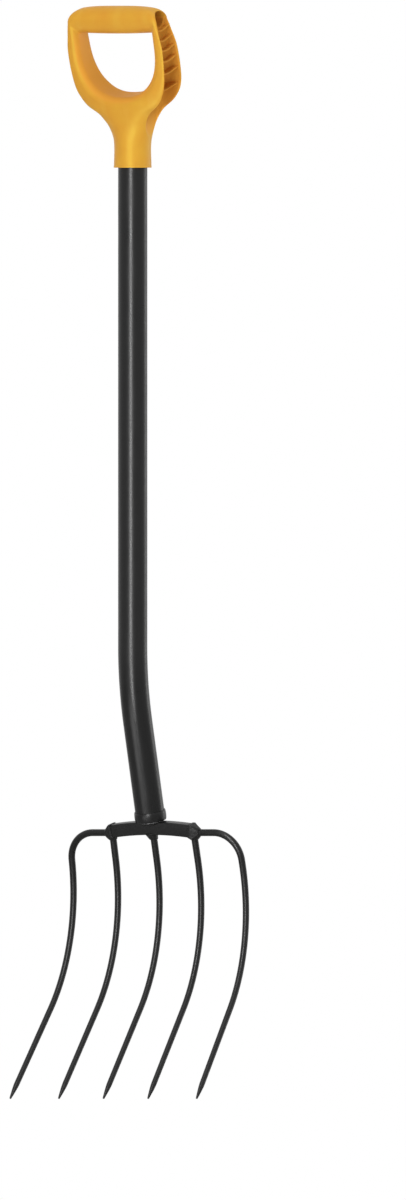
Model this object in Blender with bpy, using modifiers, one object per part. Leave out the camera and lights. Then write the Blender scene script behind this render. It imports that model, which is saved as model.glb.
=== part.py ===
# Manure fork: five round tines on a flat crossbar, a bent tubular shaft and a moulded D-handle.
# Units are metres. +X points right, +Y to the back and +Z up. The tines' tips stand on Z = 0
# and the upright length of the shaft runs along the Z axis.
import math

import bmesh
import bpy
from mathutils import Matrix, Vector

# Whole fork
TOTAL_HEIGHT = 1.289
LEAN = math.radians(14.2)      # the lower shaft runs back and the D leans forward, both by this
FIT_GAP = 0.0003               # room between pieces that touch

# Shaft
TUBE_RADIUS = 0.0173
TUBE_WALL = 0.0015
TUBE_TOP_Z = 1.149
TUBE_SIDES = 32
BEND_CORNER_Z = 0.489          # where the two straight lengths would meet
BEND_RADIUS = 0.355
BEND_STEPS = 8
HEAD_DISTANCE = 0.1744         # from that corner to the crossbar's centre
TUBE_END = 0.0096              # lower end of the tube above the crossbar's centre

# Ferrule
FERRULE_BOTTOM = 0.0089        # above the crossbar's centre
FERRULE_LENGTH = 0.0116
FERRULE_RIM = 0.0004           # wall at both ends
FERRULE_SWELL = 0.0009         # more wall at mid length
FERRULE_SIDES = 36

# Plug in the shaft's lower end, with its two weld beads
PLUG_LENGTH = 0.050
PLUG_CORE_RADIUS = 0.0100
PLUG_CORE_DEPTH = 0.036
PLUG_LEAD = 0.002              # bevel that leads the plug into the tube
NECK_WELD_RADIUS = 0.0016
NECK_WELD_HALF_LENGTH = 0.0095

# Crossbar
BAR_HALF_LENGTH = 0.0550
BAR_HEIGHT = 0.0156
BAR_DEPTH = 0.0115
BAR_ARCH_RADIUS = 0.415
BAR_EDGE = 0.0008

# Tines. "Down" is the distance below the crossbar's centre, measured along the bent tine.
TINE_SETBACK = 0.0012          # behind the crossbar's centre line
TINE_ROOT_RADIUS = 0.00415
TINE_TAPER = 0.0027            # radius lost over each unit of length
TINE_CURVE_START = 0.0393
TINE_CURVE_RADIUS = 0.205
TINE_CURVE_ANGLE = math.radians(52.0)
TINE_POINT_LENGTH = 0.022
TINE_TIP_RADIUS = 0.0011
TINE_SIDES = 12
INNER_TINE_X = 0.0564
INNER_TINE_SPLAY = 0.0157      # sideways travel over each unit of length
OUTER_TINE_DOWN = 0.0064       # level run of an outer tine
OUTER_CORNER_X = 0.0840
OUTER_CORNER_RADIUS = 0.034
OUTER_TINE_SPLAY = 0.0363

# Weld lumps at the tines' roots
WELD_NOSE_X = 0.0652
WELD_FOOT_DOWN = 0.0146        # where a lump ends on a tine
WELD_BEAD = 0.0008             # how far a lump stands off a tine
WELD_PROUD = 0.0010            # how far an end lump stands off the crossbar
WELD_LEFT_REACH = 0.0092       # from a tine's axis along the crossbar, left and right of it
WELD_RIGHT_REACH = 0.0058
WELD_UNDER_DEPTH = 0.0070      # half the depth of a lump under the crossbar
WELD_LIP = 0.0010              # how far a lump comes up the crossbar's faces
WELD_SHOULDER = (0.0006, 0.0016)  # where an end lump is widest, inside and outside the bar's end

# D-handle. Heights run along the handle, from where its upright and leaning axes would meet.
LEAN_CORNER_Z = 1.145
LEAN_BLEND = 0.0125            # half the length over which the neck turns
COLLAR_BOTTOM = -0.047
COLLAR_RADIUS = 0.02215
GRIP_RADIUS = 0.0164
GRIP_TOP_LOSS = 0.0003         # what the flat facets on top of the grip take off its height
GRIP_CORNER = (0.0200, 0.0161)  # width and height of the rounding at the grip's ends
GRIP_CROWN = (0.0016, 0.0021)  # how much the grip thins towards its ends, above and below
GRIP_CROWN_BLEND = 0.012       # height over which the crown above comes in
GRIP_CORE = (0.0122, 0.0098)   # half depth and half height of the hole in each end of the grip
GRIP_CORE_RISE = 0.0006        # its centre above the grip's
GRIP_CORE_ENDS_X = (0.008, 0.071)
OPENING_HALF_WIDTH = 0.0515
OPENING_BOTTOM = 0.0405
OPENING_SHOULDER = 0.0995      # above this the opening's sides are straight
OPENING_ROUNDNESS = 2.35
OPENING_CORNER_RADIUS = 0.003
OPENING_SIDE_FILLET = 0.009
OPENING_BOTTOM_FILLET = 0.011
CHANNEL_SHARE = 0.42           # scooped part of an arm's thickness
CHANNEL_CLEARANCE = 0.0012     # from the handle's side to the middle of a cutter
CHANNEL_TOP = 0.1316
WEB_THICKNESS = 0.0036         # wall between the hand opening and the pockets
POCKET_INSET = 0.0009          # how much narrower the pockets are than the channel
RIB_THICKNESS = 0.0018
RIB_SAG = 0.0045               # how far the middle of a rib hangs below its ends
RIB_SAG_START = 0.020          # the channel's section is flat up to this height
RIB_HEIGHTS = (0.0500, 0.0705, 0.0855, 0.0985, 0.1105, 0.1230)

# Outline of the handle: height, half width, half depth, setback of both sides, squareness
HANDLE_STATIONS = (
    (COLLAR_BOTTOM, COLLAR_RADIUS + 0.0002, COLLAR_RADIUS + 0.0002, 0.0, 2.0),
    (COLLAR_BOTTOM + 0.0015, COLLAR_RADIUS + 0.0002, COLLAR_RADIUS + 0.0002, 0.0, 2.0),
    (COLLAR_BOTTOM + 0.0025, COLLAR_RADIUS, COLLAR_RADIUS, 0.0, 2.0),
    (-0.0160, COLLAR_RADIUS, COLLAR_RADIUS, 0.0, 2.0),
    (0.0020, 0.0282, 0.0221, 0.0002, 2.1),
    (0.0120, 0.0337, 0.0221, 0.0012, 2.5),
    (0.0210, 0.0399, 0.0221, 0.0025, 3.6),
    (0.0300, 0.0510, 0.0221, 0.0038, 6.0),
    (0.0407, 0.0583, 0.0221, 0.0048, 10.0),
    (0.0504, 0.0616, 0.0219, 0.0043, 15.0),
    (0.0620, 0.0641, 0.0206, 0.0034, 20.0),
    (0.0800, 0.0661, 0.0193, 0.0020, 20.0),
    (0.0990, 0.0663, 0.0180, 0.0008, 20.0),
    (0.1160, 0.0645, 0.0167, -0.0008, 13.0),
    (0.1325, 0.0624, GRIP_RADIUS, -0.0022, 8.0),
)

# Channel in each arm's outer side: height, front edge and back edge
CHANNEL_EDGES = (
    (-0.0180, -0.0120, 0.0110),
    (0.0020, -0.0138, 0.0115),
    (0.0134, -0.0148, 0.0125),
    (0.0250, -0.0150, 0.0155),
    (0.0360, -0.0151, 0.0195),
    (0.0500, -0.0155, 0.0228),
    (0.0620, -0.0157, 0.0206),
    (0.0800, -0.0160, 0.0179),
    (0.0990, -0.0157, 0.0154),
    (0.1180, -0.0153, 0.0133),
    (0.1325, -0.0140, 0.0112),
)

# Floor of the channel below its lowest rib: height and distance from the middle
TAIL_FLOOR = (
    (-0.0172, 0.0227),
    (0.0020, 0.0246),
    (0.0134, 0.0272),
    (0.0250, 0.0318),
    (0.0360, 0.0365),
    (0.0500, 0.0400),
)

# Fixing screw at the back of the collar
SCREW_Z = 1.119
SCREW_HEAD_RADIUS = 0.0042
SCREW_HEAD_HEIGHT = 0.0022
SCREW_SHANK_RADIUS = 0.0020
SCREW_LENGTH = 0.0105
SCREW_POINT = 0.0012           # length of the bevel at its end
SCREW_SIDES = 20
SCREW_SEAT_Y = 0.0208          # bottom of the round recess that takes the head
SCREW_SEAT_ROOM = 0.0005       # between the recess and the head

# Colour, roughness and metallic value of each finish
FINISHES = {
    "orange_plastic": ((0.72, 0.36, 0.045), 0.42, 0.0),
    "black_coating": ((0.028, 0.028, 0.028), 0.38, 0.0),
    "black_weld": ((0.022, 0.022, 0.022), 0.60, 0.0),
    "bare_steel": ((0.42, 0.42, 0.43), 0.40, 1.0),
    "zinc_plate": ((0.55, 0.56, 0.58), 0.35, 1.0),
}


def start_scene():
    """Empty the scene and return the collections for the fork and for its cutters."""
    for obj in list(bpy.data.objects):
        bpy.data.objects.remove(obj, do_unlink=True)
    collections = []
    for name in ("manure_fork", "cutters"):
        collection = bpy.data.collections.new(name)
        bpy.context.scene.collection.children.link(collection)
        collections.append(collection)
    return collections


def make_material(name):
    colour, roughness, metallic = FINISHES[name]
    material = bpy.data.materials.get(name) or bpy.data.materials.new(name)
    material.use_nodes = True
    shader = material.node_tree.nodes["Principled BSDF"]
    shader.inputs["Base Color"].default_value = (*colour, 1.0)
    shader.inputs["Roughness"].default_value = roughness
    shader.inputs["Metallic"].default_value = metallic
    return material


def add_part(name, mesh, finish, parent=None, smooth_angle=35.0):
    """Make a visible piece, smooth except along its real edges."""
    obj = bpy.data.objects.new(name, mesh)
    parts.objects.link(obj)
    obj.parent = parent
    mesh.materials.append(make_material(finish))
    mesh.shade_smooth()
    mesh.set_sharp_from_angle(angle=math.radians(smooth_angle))
    return obj


def cut(target, mesh, parent=None):
    """Take a cutter's shape out of a piece."""
    obj = bpy.data.objects.new(f"{target.name}_cutter_{len(cutters.objects)}", mesh)
    cutters.objects.link(obj)
    obj.parent = parent
    obj.hide_render = True
    obj.display_type = "WIRE"
    modifier = target.modifiers.new(obj.name, "BOOLEAN")
    modifier.operation = "DIFFERENCE"
    modifier.solver = "EXACT"
    modifier.object = obj
    return obj


def mesh_from_bmesh(name, bm):
    mesh = bpy.data.meshes.new(name)
    bmesh.ops.recalc_face_normals(bm, faces=bm.faces)
    bm.to_mesh(mesh)
    bm.free()
    return mesh


def welded_mesh(obj):
    """Turn a curve, or an object with modifiers, into one welded mesh and drop the object."""
    bpy.context.scene.collection.objects.link(obj)
    bpy.context.view_layer.update()
    evaluated = obj.evaluated_get(bpy.context.evaluated_depsgraph_get())
    mesh = bpy.data.meshes.new_from_object(evaluated)
    bpy.data.objects.remove(obj, do_unlink=True)
    bm = bmesh.new()
    bm.from_mesh(mesh)
    bmesh.ops.remove_doubles(bm, verts=bm.verts, dist=0.00001)
    bmesh.ops.recalc_face_normals(bm, faces=bm.faces)
    bm.to_mesh(mesh)
    bm.free()
    return mesh


def round_rod(name, points, radii, sides, capped=True):
    """A round section carried along points, with a radius at each of them."""
    curve = bpy.data.curves.new(name, "CURVE")
    curve.dimensions = "3D"
    curve.bevel_depth = 1.0
    curve.bevel_resolution = (sides - 4) // 2
    curve.use_fill_caps = capped
    spline = curve.splines.new("POLY")
    spline.points.add(len(points) - 1)
    for place, point, radius in zip(spline.points, points, radii):
        place.co = (*point, 1.0)
        place.radius = radius
    return welded_mesh(bpy.data.objects.new(name, curve))


def flat_plate(name, outline, thickness):
    """A closed outline in X and Z, with its thickness along Y."""
    curve = bpy.data.curves.new(name, "CURVE")
    curve.dimensions = "2D"
    curve.fill_mode = "BOTH"
    curve.extrude = thickness / 2
    spline = curve.splines.new("POLY")
    spline.points.add(len(outline) - 1)
    spline.use_cyclic_u = True
    for place, (x, z) in zip(spline.points, outline):
        place.co = (x, z, 0.0, 1.0)
    mesh = welded_mesh(bpy.data.objects.new(name, curve))
    mesh.transform(Matrix.Rotation(math.radians(90.0), 4, "X"))
    return mesh


def turned(name, profile, sides, ring=False):
    """Carry a profile of radius and height round Z. It starts and ends on the axis, or is a ring's."""
    edges = [(i, i + 1) for i in range(len(profile) - 1)]
    if ring:
        edges.append((len(profile) - 1, 0))
    mesh = bpy.data.meshes.new(name)
    mesh.from_pydata([(radius, 0.0, height) for radius, height in profile], edges, [])
    obj = bpy.data.objects.new(name, mesh)
    turn = obj.modifiers.new("turn", "SCREW")
    turn.steps = sides
    turn.render_steps = sides
    turn.use_merge_vertices = True
    turn.merge_threshold = 0.0001
    return welded_mesh(obj)


def loft(name, rings, curved_ends=False):
    """Skin rings of equal point counts and close both ends, flat or as strips from side to side."""
    bm = bmesh.new()
    rows = [[bm.verts.new(point) for point in ring] for ring in rings]
    for low, high in zip(rows, rows[1:]):
        for i in range(len(low)):
            j = (i + 1) % len(low)
            bm.faces.new((low[i], low[j], high[j], high[i]))
    for row in (rows[0], rows[-1]):
        if not curved_ends:
            bm.faces.new(row)
            continue
        half = len(row) // 2
        for i in range(-half // 2, half - half // 2 - 1):
            bm.faces.new((row[i], row[i + 1], row[half - 2 - i], row[half - 1 - i]))
    return mesh_from_bmesh(name, bm)


def cylinder(name, radius, start, end, sides=32):
    start, end = Vector(start), Vector(end)
    bm = bmesh.new()
    bmesh.ops.create_cone(bm, cap_ends=True, segments=sides, radius1=radius, radius2=radius,
                          depth=(end - start).length)
    turn = (end - start).to_track_quat("Z", "Y").to_matrix().to_4x4()
    bmesh.ops.transform(bm, verts=bm.verts, matrix=Matrix.Translation((start + end) / 2) @ turn)
    return mesh_from_bmesh(name, bm)


def superellipse(half_a, half_b, squareness, count):
    """Points of a rounded rectangle or ellipse, anticlockwise."""
    points = []
    for i in range(count):
        angle = math.tau * (i + 0.5) / count
        a = math.copysign(abs(math.cos(angle)) ** (2 / squareness), math.cos(angle))
        b = math.copysign(abs(math.sin(angle)) ** (2 / squareness), math.sin(angle))
        points.append((half_a * a, half_b * b))
    return points


def between(stations, height):
    """Read a smooth curve through stations, whose first number is the height."""
    height = min(max(height, stations[0][0]), stations[-1][0])
    i = next(i for i in range(len(stations) - 1) if height <= stations[i + 1][0])
    span = stations[i + 1][0] - stations[i][0]
    share = (height - stations[i][0]) / span
    values = []
    for column in range(1, len(stations[0])):
        slopes = []
        for k in (i, i + 1):
            below, above = stations[max(k - 1, 0)], stations[min(k + 1, len(stations) - 1)]
            slopes.append((above[column] - below[column]) / (above[0] - below[0]) * span)
        start, end = stations[i][column], stations[i + 1][column]
        s2, s3 = share ** 2, share ** 3
        values.append((2 * s3 - 3 * s2 + 1) * start + (s3 - 2 * s2 + share) * slopes[0]
                      + (3 * s2 - 2 * s3) * end + (s3 - s2) * slopes[1])
    return values


# Shaft, ferrule and plug

def shaft_path():
    """Points of the shaft's axis, from its top down to the head."""
    tangent = BEND_RADIUS * math.tan(LEAN / 2)
    points = [(0.0, 0.0, TUBE_TOP_Z)]
    for step in range(BEND_STEPS + 1):
        angle = LEAN * step / BEND_STEPS
        points.append((0.0, BEND_RADIUS * (1 - math.cos(angle)),
                       BEND_CORNER_Z + tangent - BEND_RADIUS * math.sin(angle)))
    length = HEAD_DISTANCE - TUBE_END
    points.append((0.0, length * math.sin(LEAN), BEND_CORNER_Z - length * math.cos(LEAN)))
    return points


def build_shaft():
    path = shaft_path()
    mesh = round_rod("shaft", path, [TUBE_RADIUS] * len(path), TUBE_SIDES, capped=False)
    shaft = add_part("shaft", mesh, "black_coating")
    wall = shaft.modifiers.new("wall", "SOLIDIFY")
    wall.thickness = TUBE_WALL
    wall.offset = -1.0
    hole = cylinder("screw_hole", SCREW_SHANK_RADIUS + FIT_GAP, (0, TUBE_RADIUS / 2, SCREW_Z),
                    (0, TUBE_RADIUS * 1.2, SCREW_Z), 16)
    cut(shaft, hole)


def build_ferrule(head):
    bore = TUBE_RADIUS + FIT_GAP
    profile = [(bore, FERRULE_BOTTOM), (bore, FERRULE_BOTTOM + FERRULE_LENGTH)]
    steps = 6
    for step in range(steps + 1):
        angle = math.pi * step / steps
        radius = bore + FERRULE_RIM + FERRULE_SWELL * math.sin(angle)
        profile.append((radius, FERRULE_BOTTOM + FERRULE_LENGTH * (1 + math.cos(angle)) / 2))
    ferrule = turned("shaft_ferrule", profile, FERRULE_SIDES, ring=True)
    add_part("shaft_ferrule", ferrule, "black_coating", head)


def build_plug(head):
    radius = TUBE_RADIUS - TUBE_WALL - FIT_GAP
    bottom = BAR_HEIGHT / 2 + FIT_GAP
    top = bottom + PLUG_LENGTH
    profile = [
        (0.0, top - PLUG_CORE_DEPTH), (PLUG_CORE_RADIUS, top - PLUG_CORE_DEPTH),
        (PLUG_CORE_RADIUS, top), (radius - PLUG_LEAD, top), (radius, top - PLUG_LEAD),
        (radius, bottom), (0.0, bottom),
    ]
    add_part("head_plug", turned("head_plug", profile, TUBE_SIDES), "bare_steel", head)
    reach = BAR_DEPTH / 2 + FIT_GAP + NECK_WELD_RADIUS
    height = bottom - FIT_GAP - NECK_WELD_RADIUS
    for name, side in (("front_neck_weld", -1), ("back_neck_weld", 1)):
        ends = [(x, side * reach, height) for x in (-NECK_WELD_HALF_LENGTH, NECK_WELD_HALF_LENGTH)]
        bead = round_rod(name, ends, [NECK_WELD_RADIUS] * 2, 10)
        add_part(name, bead, "black_weld", head)


# Crossbar

def bar_sag(x):
    """How far the arched crossbar has dropped at a distance from its middle."""
    return BAR_ARCH_RADIUS - math.sqrt(BAR_ARCH_RADIUS ** 2 - x ** 2)


def bar_mesh(name, grow):
    steps = 12
    outline = []
    for side in (1, -1):
        for step in range(steps + 1):
            x = side * (BAR_HALF_LENGTH + grow) * (1 - 2 * step / steps)
            outline.append((x, side * (BAR_HEIGHT / 2 + grow) - bar_sag(x)))
    return flat_plate(name, outline, BAR_DEPTH + 2 * grow)


def build_crossbar(head):
    bar = add_part("crossbar", bar_mesh("crossbar", 0.0), "black_coating", head)
    edge = bar.modifiers.new("rolled edges", "BEVEL")
    edge.width = BAR_EDGE
    edge.segments = 2
    edge.limit_method = "ANGLE"


# Tines

def tine_side(down):
    """Depth and height of a tine's axis, at a distance along it."""
    angle = min(max((down - TINE_CURVE_START) / TINE_CURVE_RADIUS, 0.0), TINE_CURVE_ANGLE)
    rest = max(down - TINE_CURVE_START - TINE_CURVE_RADIUS * TINE_CURVE_ANGLE, 0.0)
    y = TINE_SETBACK - TINE_CURVE_RADIUS * (1 - math.cos(angle)) - rest * math.sin(angle)
    z = -min(down, TINE_CURVE_START) - TINE_CURVE_RADIUS * math.sin(angle) - rest * math.cos(angle)
    return y, z


def tine_length():
    """Length that brings the lowest edge of a tine's tip to Z = 0."""
    curve_end = TINE_CURVE_START + TINE_CURVE_RADIUS * TINE_CURVE_ANGLE
    y, z = tine_side(curve_end)
    head_z = BEND_CORNER_Z - HEAD_DISTANCE * math.cos(LEAN)
    height = head_z + y * math.sin(LEAN) + z * math.cos(LEAN)
    slope = TINE_CURVE_ANGLE - LEAN
    return curve_end + (height - TINE_TIP_RADIUS * math.sin(slope)) / math.cos(slope)


def tine_radius(down, length):
    """Slow taper, then a blunt point."""
    body = TINE_ROOT_RADIUS - TINE_TAPER * down
    start = length - TINE_POINT_LENGTH
    if down <= start:
        return body
    share = (down - start) / TINE_POINT_LENGTH
    return body + (TINE_TIP_RADIUS - body) * share ** 1.4


def lower_stations(first, length):
    """Distances along a tine, from the first one to its tip."""
    stations = [first]
    curve_steps = 16
    for step in range(curve_steps + 1):
        down = TINE_CURVE_START + TINE_CURVE_RADIUS * TINE_CURVE_ANGLE * step / curve_steps
        if down > stations[-1] + 0.002:
            stations.append(down)
    point_steps = 4
    for step in range(point_steps + 1):
        stations.append(length - TINE_POINT_LENGTH * (1 - step / point_steps))
    return stations


def inner_tine_route(x, splay, length):
    root = BAR_HEIGHT / 2 + bar_sag(x) + FIT_GAP
    return [(x + splay * down, down) for down in lower_stations(root, length)]


def outer_tine_route(length):
    """Level run, corner and long lower length, as sideways and down distances."""
    route = [(BAR_HALF_LENGTH + FIT_GAP, OUTER_TINE_DOWN)]
    turn = math.pi / 2 - math.atan(OUTER_TINE_SPLAY)
    corner_steps = 9
    for step in range(corner_steps + 1):
        angle = turn * step / corner_steps
        route.append((OUTER_CORNER_X + OUTER_CORNER_RADIUS * math.sin(angle),
                      OUTER_TINE_DOWN + OUTER_CORNER_RADIUS * (1 - math.cos(angle))))
    corner_x, corner_down = route[-1]
    for down in lower_stations(corner_down, length)[1:]:
        route.append((corner_x + OUTER_TINE_SPLAY * (down - corner_down), down))
    return route


def tine_mesh(name, route, mirror, grow=0.0):
    length = tine_length()
    points = [(mirror * x, *tine_side(down)) for x, down in route]
    radii = [tine_radius(down, length) + grow for x, down in route]
    return round_rod(name, points, radii, TINE_SIDES)


def build_tines(head):
    """Make the tines and return each one's route and side for the welds."""
    length = tine_length()
    inner = inner_tine_route(INNER_TINE_X, INNER_TINE_SPLAY, length)
    outer = outer_tine_route(length)
    routes = {
        "left_outer_tine": (outer, -1),
        "left_inner_tine": (inner, -1),
        "centre_tine": (inner_tine_route(0.0, 0.0, length), 1),
        "right_inner_tine": (inner, 1),
        "right_outer_tine": (outer, 1),
    }
    for name, (route, mirror) in routes.items():
        add_part(name, tine_mesh(name, route, mirror), "black_coating", head)
    return routes


# Welds

def ring_points(centre, axis, radius, count=10):
    """Points of a circle round an axis of the head's frame."""
    turn = Vector(axis).to_track_quat("Z", "Y")
    points = []
    for i in range(count):
        angle = math.tau * i / count
        spoke = Vector((radius * math.cos(angle), radius * math.sin(angle), 0.0))
        points.append(Vector(centre) + turn @ spoke)
    return points


def bar_section_points(x, grow):
    """Corners of the crossbar's section at a distance from its middle, grown all round."""
    half_depth = BAR_DEPTH / 2 + grow
    half_height = BAR_HEIGHT / 2 + grow
    return [Vector((x, side * half_depth, rise * half_height - bar_sag(x)))
            for side in (-1, 1) for rise in (-1, 1)]


def under_bar_points(x):
    """Rounded patch on the crossbar's underside round a tine's root."""
    centre = x + (WELD_RIGHT_REACH - WELD_LEFT_REACH) / 2
    reach = (WELD_RIGHT_REACH + WELD_LEFT_REACH) / 2
    points = []
    for a, b in superellipse(reach, WELD_UNDER_DEPTH, 2.4, 12):
        across = min(max(centre + a, -BAR_HALF_LENGTH), BAR_HALF_LENGTH)
        points.append(Vector((across, b, WELD_LIP - BAR_HEIGHT / 2 - bar_sag(across))))
    return points


def weld_lump(name, points, head, tine_names, routes):
    """A hull of filler metal, cut back from the crossbar and from the tines that it holds."""
    bm = bmesh.new()
    for point in points:
        bm.verts.new(point)
    hull = bmesh.ops.convex_hull(bm, input=bm.verts)
    inside = [item for item in hull["geom_interior"] if isinstance(item, bmesh.types.BMVert)]
    bmesh.ops.delete(bm, geom=inside, context="VERTS")
    lump = add_part(name, mesh_from_bmesh(name, bm), "black_weld", head)
    cut(lump, bar_mesh(f"{name}_bar", FIT_GAP), head)
    for tine in tine_names:
        route, mirror = routes[tine]
        cut(lump, tine_mesh(f"{name}_{tine}", route, mirror, FIT_GAP), head)


def build_welds(head, routes):
    bead = TINE_ROOT_RADIUS + WELD_BEAD
    down = (0.0, 0.0, -1.0)
    foot = ring_points((0.0, TINE_SETBACK, -WELD_FOOT_DOWN), down, bead)
    weld_lump("centre_tine_weld", foot + under_bar_points(0.0), head, ["centre_tine"], routes)
    for side_name, side in (("left", -1), ("right", 1)):
        points = bar_section_points(side * (BAR_HALF_LENGTH - WELD_SHOULDER[0]), WELD_PROUD / 2)
        points += bar_section_points(side * (BAR_HALF_LENGTH + WELD_SHOULDER[1]), WELD_PROUD)
        points += under_bar_points(side * INNER_TINE_X)
        points += ring_points((side * WELD_NOSE_X, TINE_SETBACK, -OUTER_TINE_DOWN),
                              (side, 0, 0), bead)
        foot_x = INNER_TINE_X + INNER_TINE_SPLAY * WELD_FOOT_DOWN
        points += ring_points((side * foot_x, TINE_SETBACK, -WELD_FOOT_DOWN), down, bead)
        tines = [f"{side_name}_inner_tine", f"{side_name}_outer_tine"]
        weld_lump(f"{side_name}_end_weld", points, head, tines, routes)


# D-handle

def grip_height():
    """Height of the grip's centre, which puts its top at the fork's total height."""
    return (TOTAL_HEIGHT + GRIP_TOP_LOSS - GRIP_RADIUS - LEAN_CORNER_Z) / math.cos(LEAN)


def handle_place(height, x, y):
    """World place of a point on the handle's section at a height."""
    angle = LEAN * min(max((height + LEAN_BLEND) / (2 * LEAN_BLEND), 0.0), 1.0)
    radius = LEAN_BLEND / math.tan(LEAN / 2)
    upright = min(height, -LEAN_BLEND)
    leaning = max(height - LEAN_BLEND, 0.0)
    centre_y = -radius * (1 - math.cos(angle)) - leaning * math.sin(angle)
    centre_z = LEAN_CORNER_Z + upright + radius * math.sin(angle) + leaning * math.cos(angle)
    return (x, centre_y + y * math.cos(angle), centre_z + y * math.sin(angle))


def crown_drop(height, across):
    """How far the top of the grip falls towards its ends. Across is 1 at an end."""
    share = min(max((height - grip_height()) / GRIP_CROWN_BLEND + 1.0, 0.0), 1.0)
    return GRIP_CROWN[0] * share * across ** 4


def body_ring(height, half_width, half_depth, setback, squareness):
    """Outer section of the handle. Its sides can stand further back than its middle."""
    ring = []
    for a, b in superellipse(half_width, half_depth, squareness, 40):
        across = a / half_width
        ring.append(handle_place(height - crown_drop(height, across), a,
                                 b + setback * across ** 2))
    return ring


def handle_body():
    """Solid outer form, from the collar's mouth to the rounded top of the grip."""
    rings = []
    for low, high in zip(HANDLE_STATIONS, HANDLE_STATIONS[1:]):
        steps = max(1, round((high[0] - low[0]) / 0.006))
        for step in range(steps):
            height = low[0] + (high[0] - low[0]) * step / steps
            rings.append(body_ring(height, *between(HANDLE_STATIONS, height)))
    top_width, _, top_setback, top_squareness = between(HANDLE_STATIONS, grip_height())
    corner_width, corner_height = GRIP_CORNER
    top_steps = 8
    for step in range(top_steps + 1):
        angle = math.radians(82.0) * step / top_steps
        rise = GRIP_RADIUS * math.sin(angle)
        over = max(rise - (GRIP_RADIUS - corner_height), 0.0) / corner_height
        corner = corner_width * (1 - math.sqrt(1 - over ** 2))
        rings.append(body_ring(grip_height() + rise, top_width - corner,
                               GRIP_RADIUS * math.cos(angle), top_setback, top_squareness))
    return loft("d_handle", rings)


def opening_half_width(height):
    drop = max(OPENING_SHOULDER - height, 0.0) / (OPENING_SHOULDER - OPENING_BOTTOM)
    rest = max(1 - drop ** OPENING_ROUNDNESS, 0.0)
    return OPENING_HALF_WIDTH * rest ** (1 / OPENING_ROUNDNESS)


def fillet(radius, start, depth):
    """How far a rounded edge has fallen away at a depth."""
    reach = min(max(depth - start, 0.0), 0.985 * radius)
    return radius - math.sqrt(radius ** 2 - reach ** 2)


def opening_outline():
    """Hand opening at its narrowest, as across, height, and which way each point gives way."""
    grip_bottom = grip_height() - GRIP_RADIUS
    outline = []
    lower_steps = 22
    for step in range(lower_steps + 1):
        angle = math.pi * (1 + step / lower_steps)
        side = math.copysign(abs(math.cos(angle)) ** (2 / OPENING_ROUNDNESS), math.cos(angle))
        down = abs(math.sin(angle)) ** (2 / OPENING_ROUNDNESS)
        outline.append((OPENING_HALF_WIDTH * side,
                        OPENING_SHOULDER - (OPENING_SHOULDER - OPENING_BOTTOM) * down,
                        side, down, 0.0))
    corner_steps = 3
    top_steps = 6
    for side in (1, -1):
        for step in range(corner_steps + 1):
            share = step if side > 0 else corner_steps - step
            angle = math.pi / 2 * share / corner_steps
            outline.append((side * (OPENING_HALF_WIDTH - OPENING_CORNER_RADIUS * (1 - math.cos(angle))),
                            grip_bottom - OPENING_CORNER_RADIUS * (1 - math.sin(angle)),
                            side, 0.0, 1.0))
        if side > 0:
            for step in range(1, top_steps):
                across = 1 - 2 * step / top_steps
                outline.append((across * (OPENING_HALF_WIDTH - OPENING_CORNER_RADIUS), grip_bottom,
                                0.0, 0.0, 1.0))
    return outline


def opening_cutter():
    """The hand opening, widened towards the front and back so that its edges are round."""
    shares = (0.0, 0.32, 0.55, 0.73, 0.87, 0.96, 1.0, 1.5)
    levels = [-share for share in reversed(shares[1:])] + list(shares)
    rings = []
    for level in levels:
        ring = []
        for x, height, side, down, up in opening_outline():
            half_width, half_depth, setback, _ = between(HANDLE_STATIONS, height)
            middle = setback * (x / half_width) ** 2
            depth = min(abs(level), 1.0) * half_depth
            x += side * fillet(OPENING_SIDE_FILLET, half_depth - OPENING_SIDE_FILLET, depth)
            low = fillet(OPENING_BOTTOM_FILLET, half_depth - OPENING_BOTTOM_FILLET, depth)
            high = fillet(GRIP_RADIUS, 0.0, depth) + GRIP_CROWN[1] * (x / half_width) ** 2
            ring.append(handle_place(height - down * low + up * high, x,
                                     middle + level * half_depth))
        rings.append(ring)
    return loft("hand_opening", rings)


def sag(height, across):
    """How far a section hangs down at a place across it. Across is 1 at the front and back edges."""
    share = (height - RIB_SAG_START) / (RIB_HEIGHTS[0] - RIB_SAG_START)
    return RIB_SAG * min(max(share, 0.0), 1.0) * (1 - across ** 2)


def side_cutter(name, side, heights, floor, inset, squareness):
    """Something taken out of an arm's outer side, down to a floor measured from the middle."""
    rings = []
    for height in heights:
        front, back = between(CHANNEL_EDGES, height)
        half_depth = (back - front) / 2
        surface = between(HANDLE_STATIONS, height)[0] + CHANNEL_CLEARANCE
        ring = []
        for a, b in superellipse(surface - floor(height), half_depth - inset, squareness, 20):
            ring.append(handle_place(height - sag(height, b / half_depth), side * surface + a,
                                     (front + back) / 2 + b))
        rings.append(ring)
    return loft(name, rings, curved_ends=True)


def steps_between(low, high, pitch):
    count = max(2, round((high - low) / pitch))
    return [low + (high - low) * step / count for step in range(count + 1)]


def channel_floor(height):
    """Deepest line of the scoop that the edges of the ribs follow."""
    width = between(HANDLE_STATIONS, height)[0]
    return width - CHANNEL_SHARE * (width - web_face(height))


def web_face(height):
    return opening_half_width(height) + WEB_THICKNESS


def tail_floor(height):
    return between(TAIL_FLOOR, height)[0]


def core_cutter(side):
    """Hole in the end of the grip."""
    half_depth, half_height = GRIP_CORE
    width, _, setback, _ = between(HANDLE_STATIONS, grip_height())
    rings = []
    for x in GRIP_CORE_ENDS_X:
        middle = setback * (x / width) ** 2
        rings.append([handle_place(grip_height() + GRIP_CORE_RISE + b, side * x, middle + a)
                      for a, b in superellipse(half_depth, half_height, 2.2, 24)])
    return loft("grip_core", rings)


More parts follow.
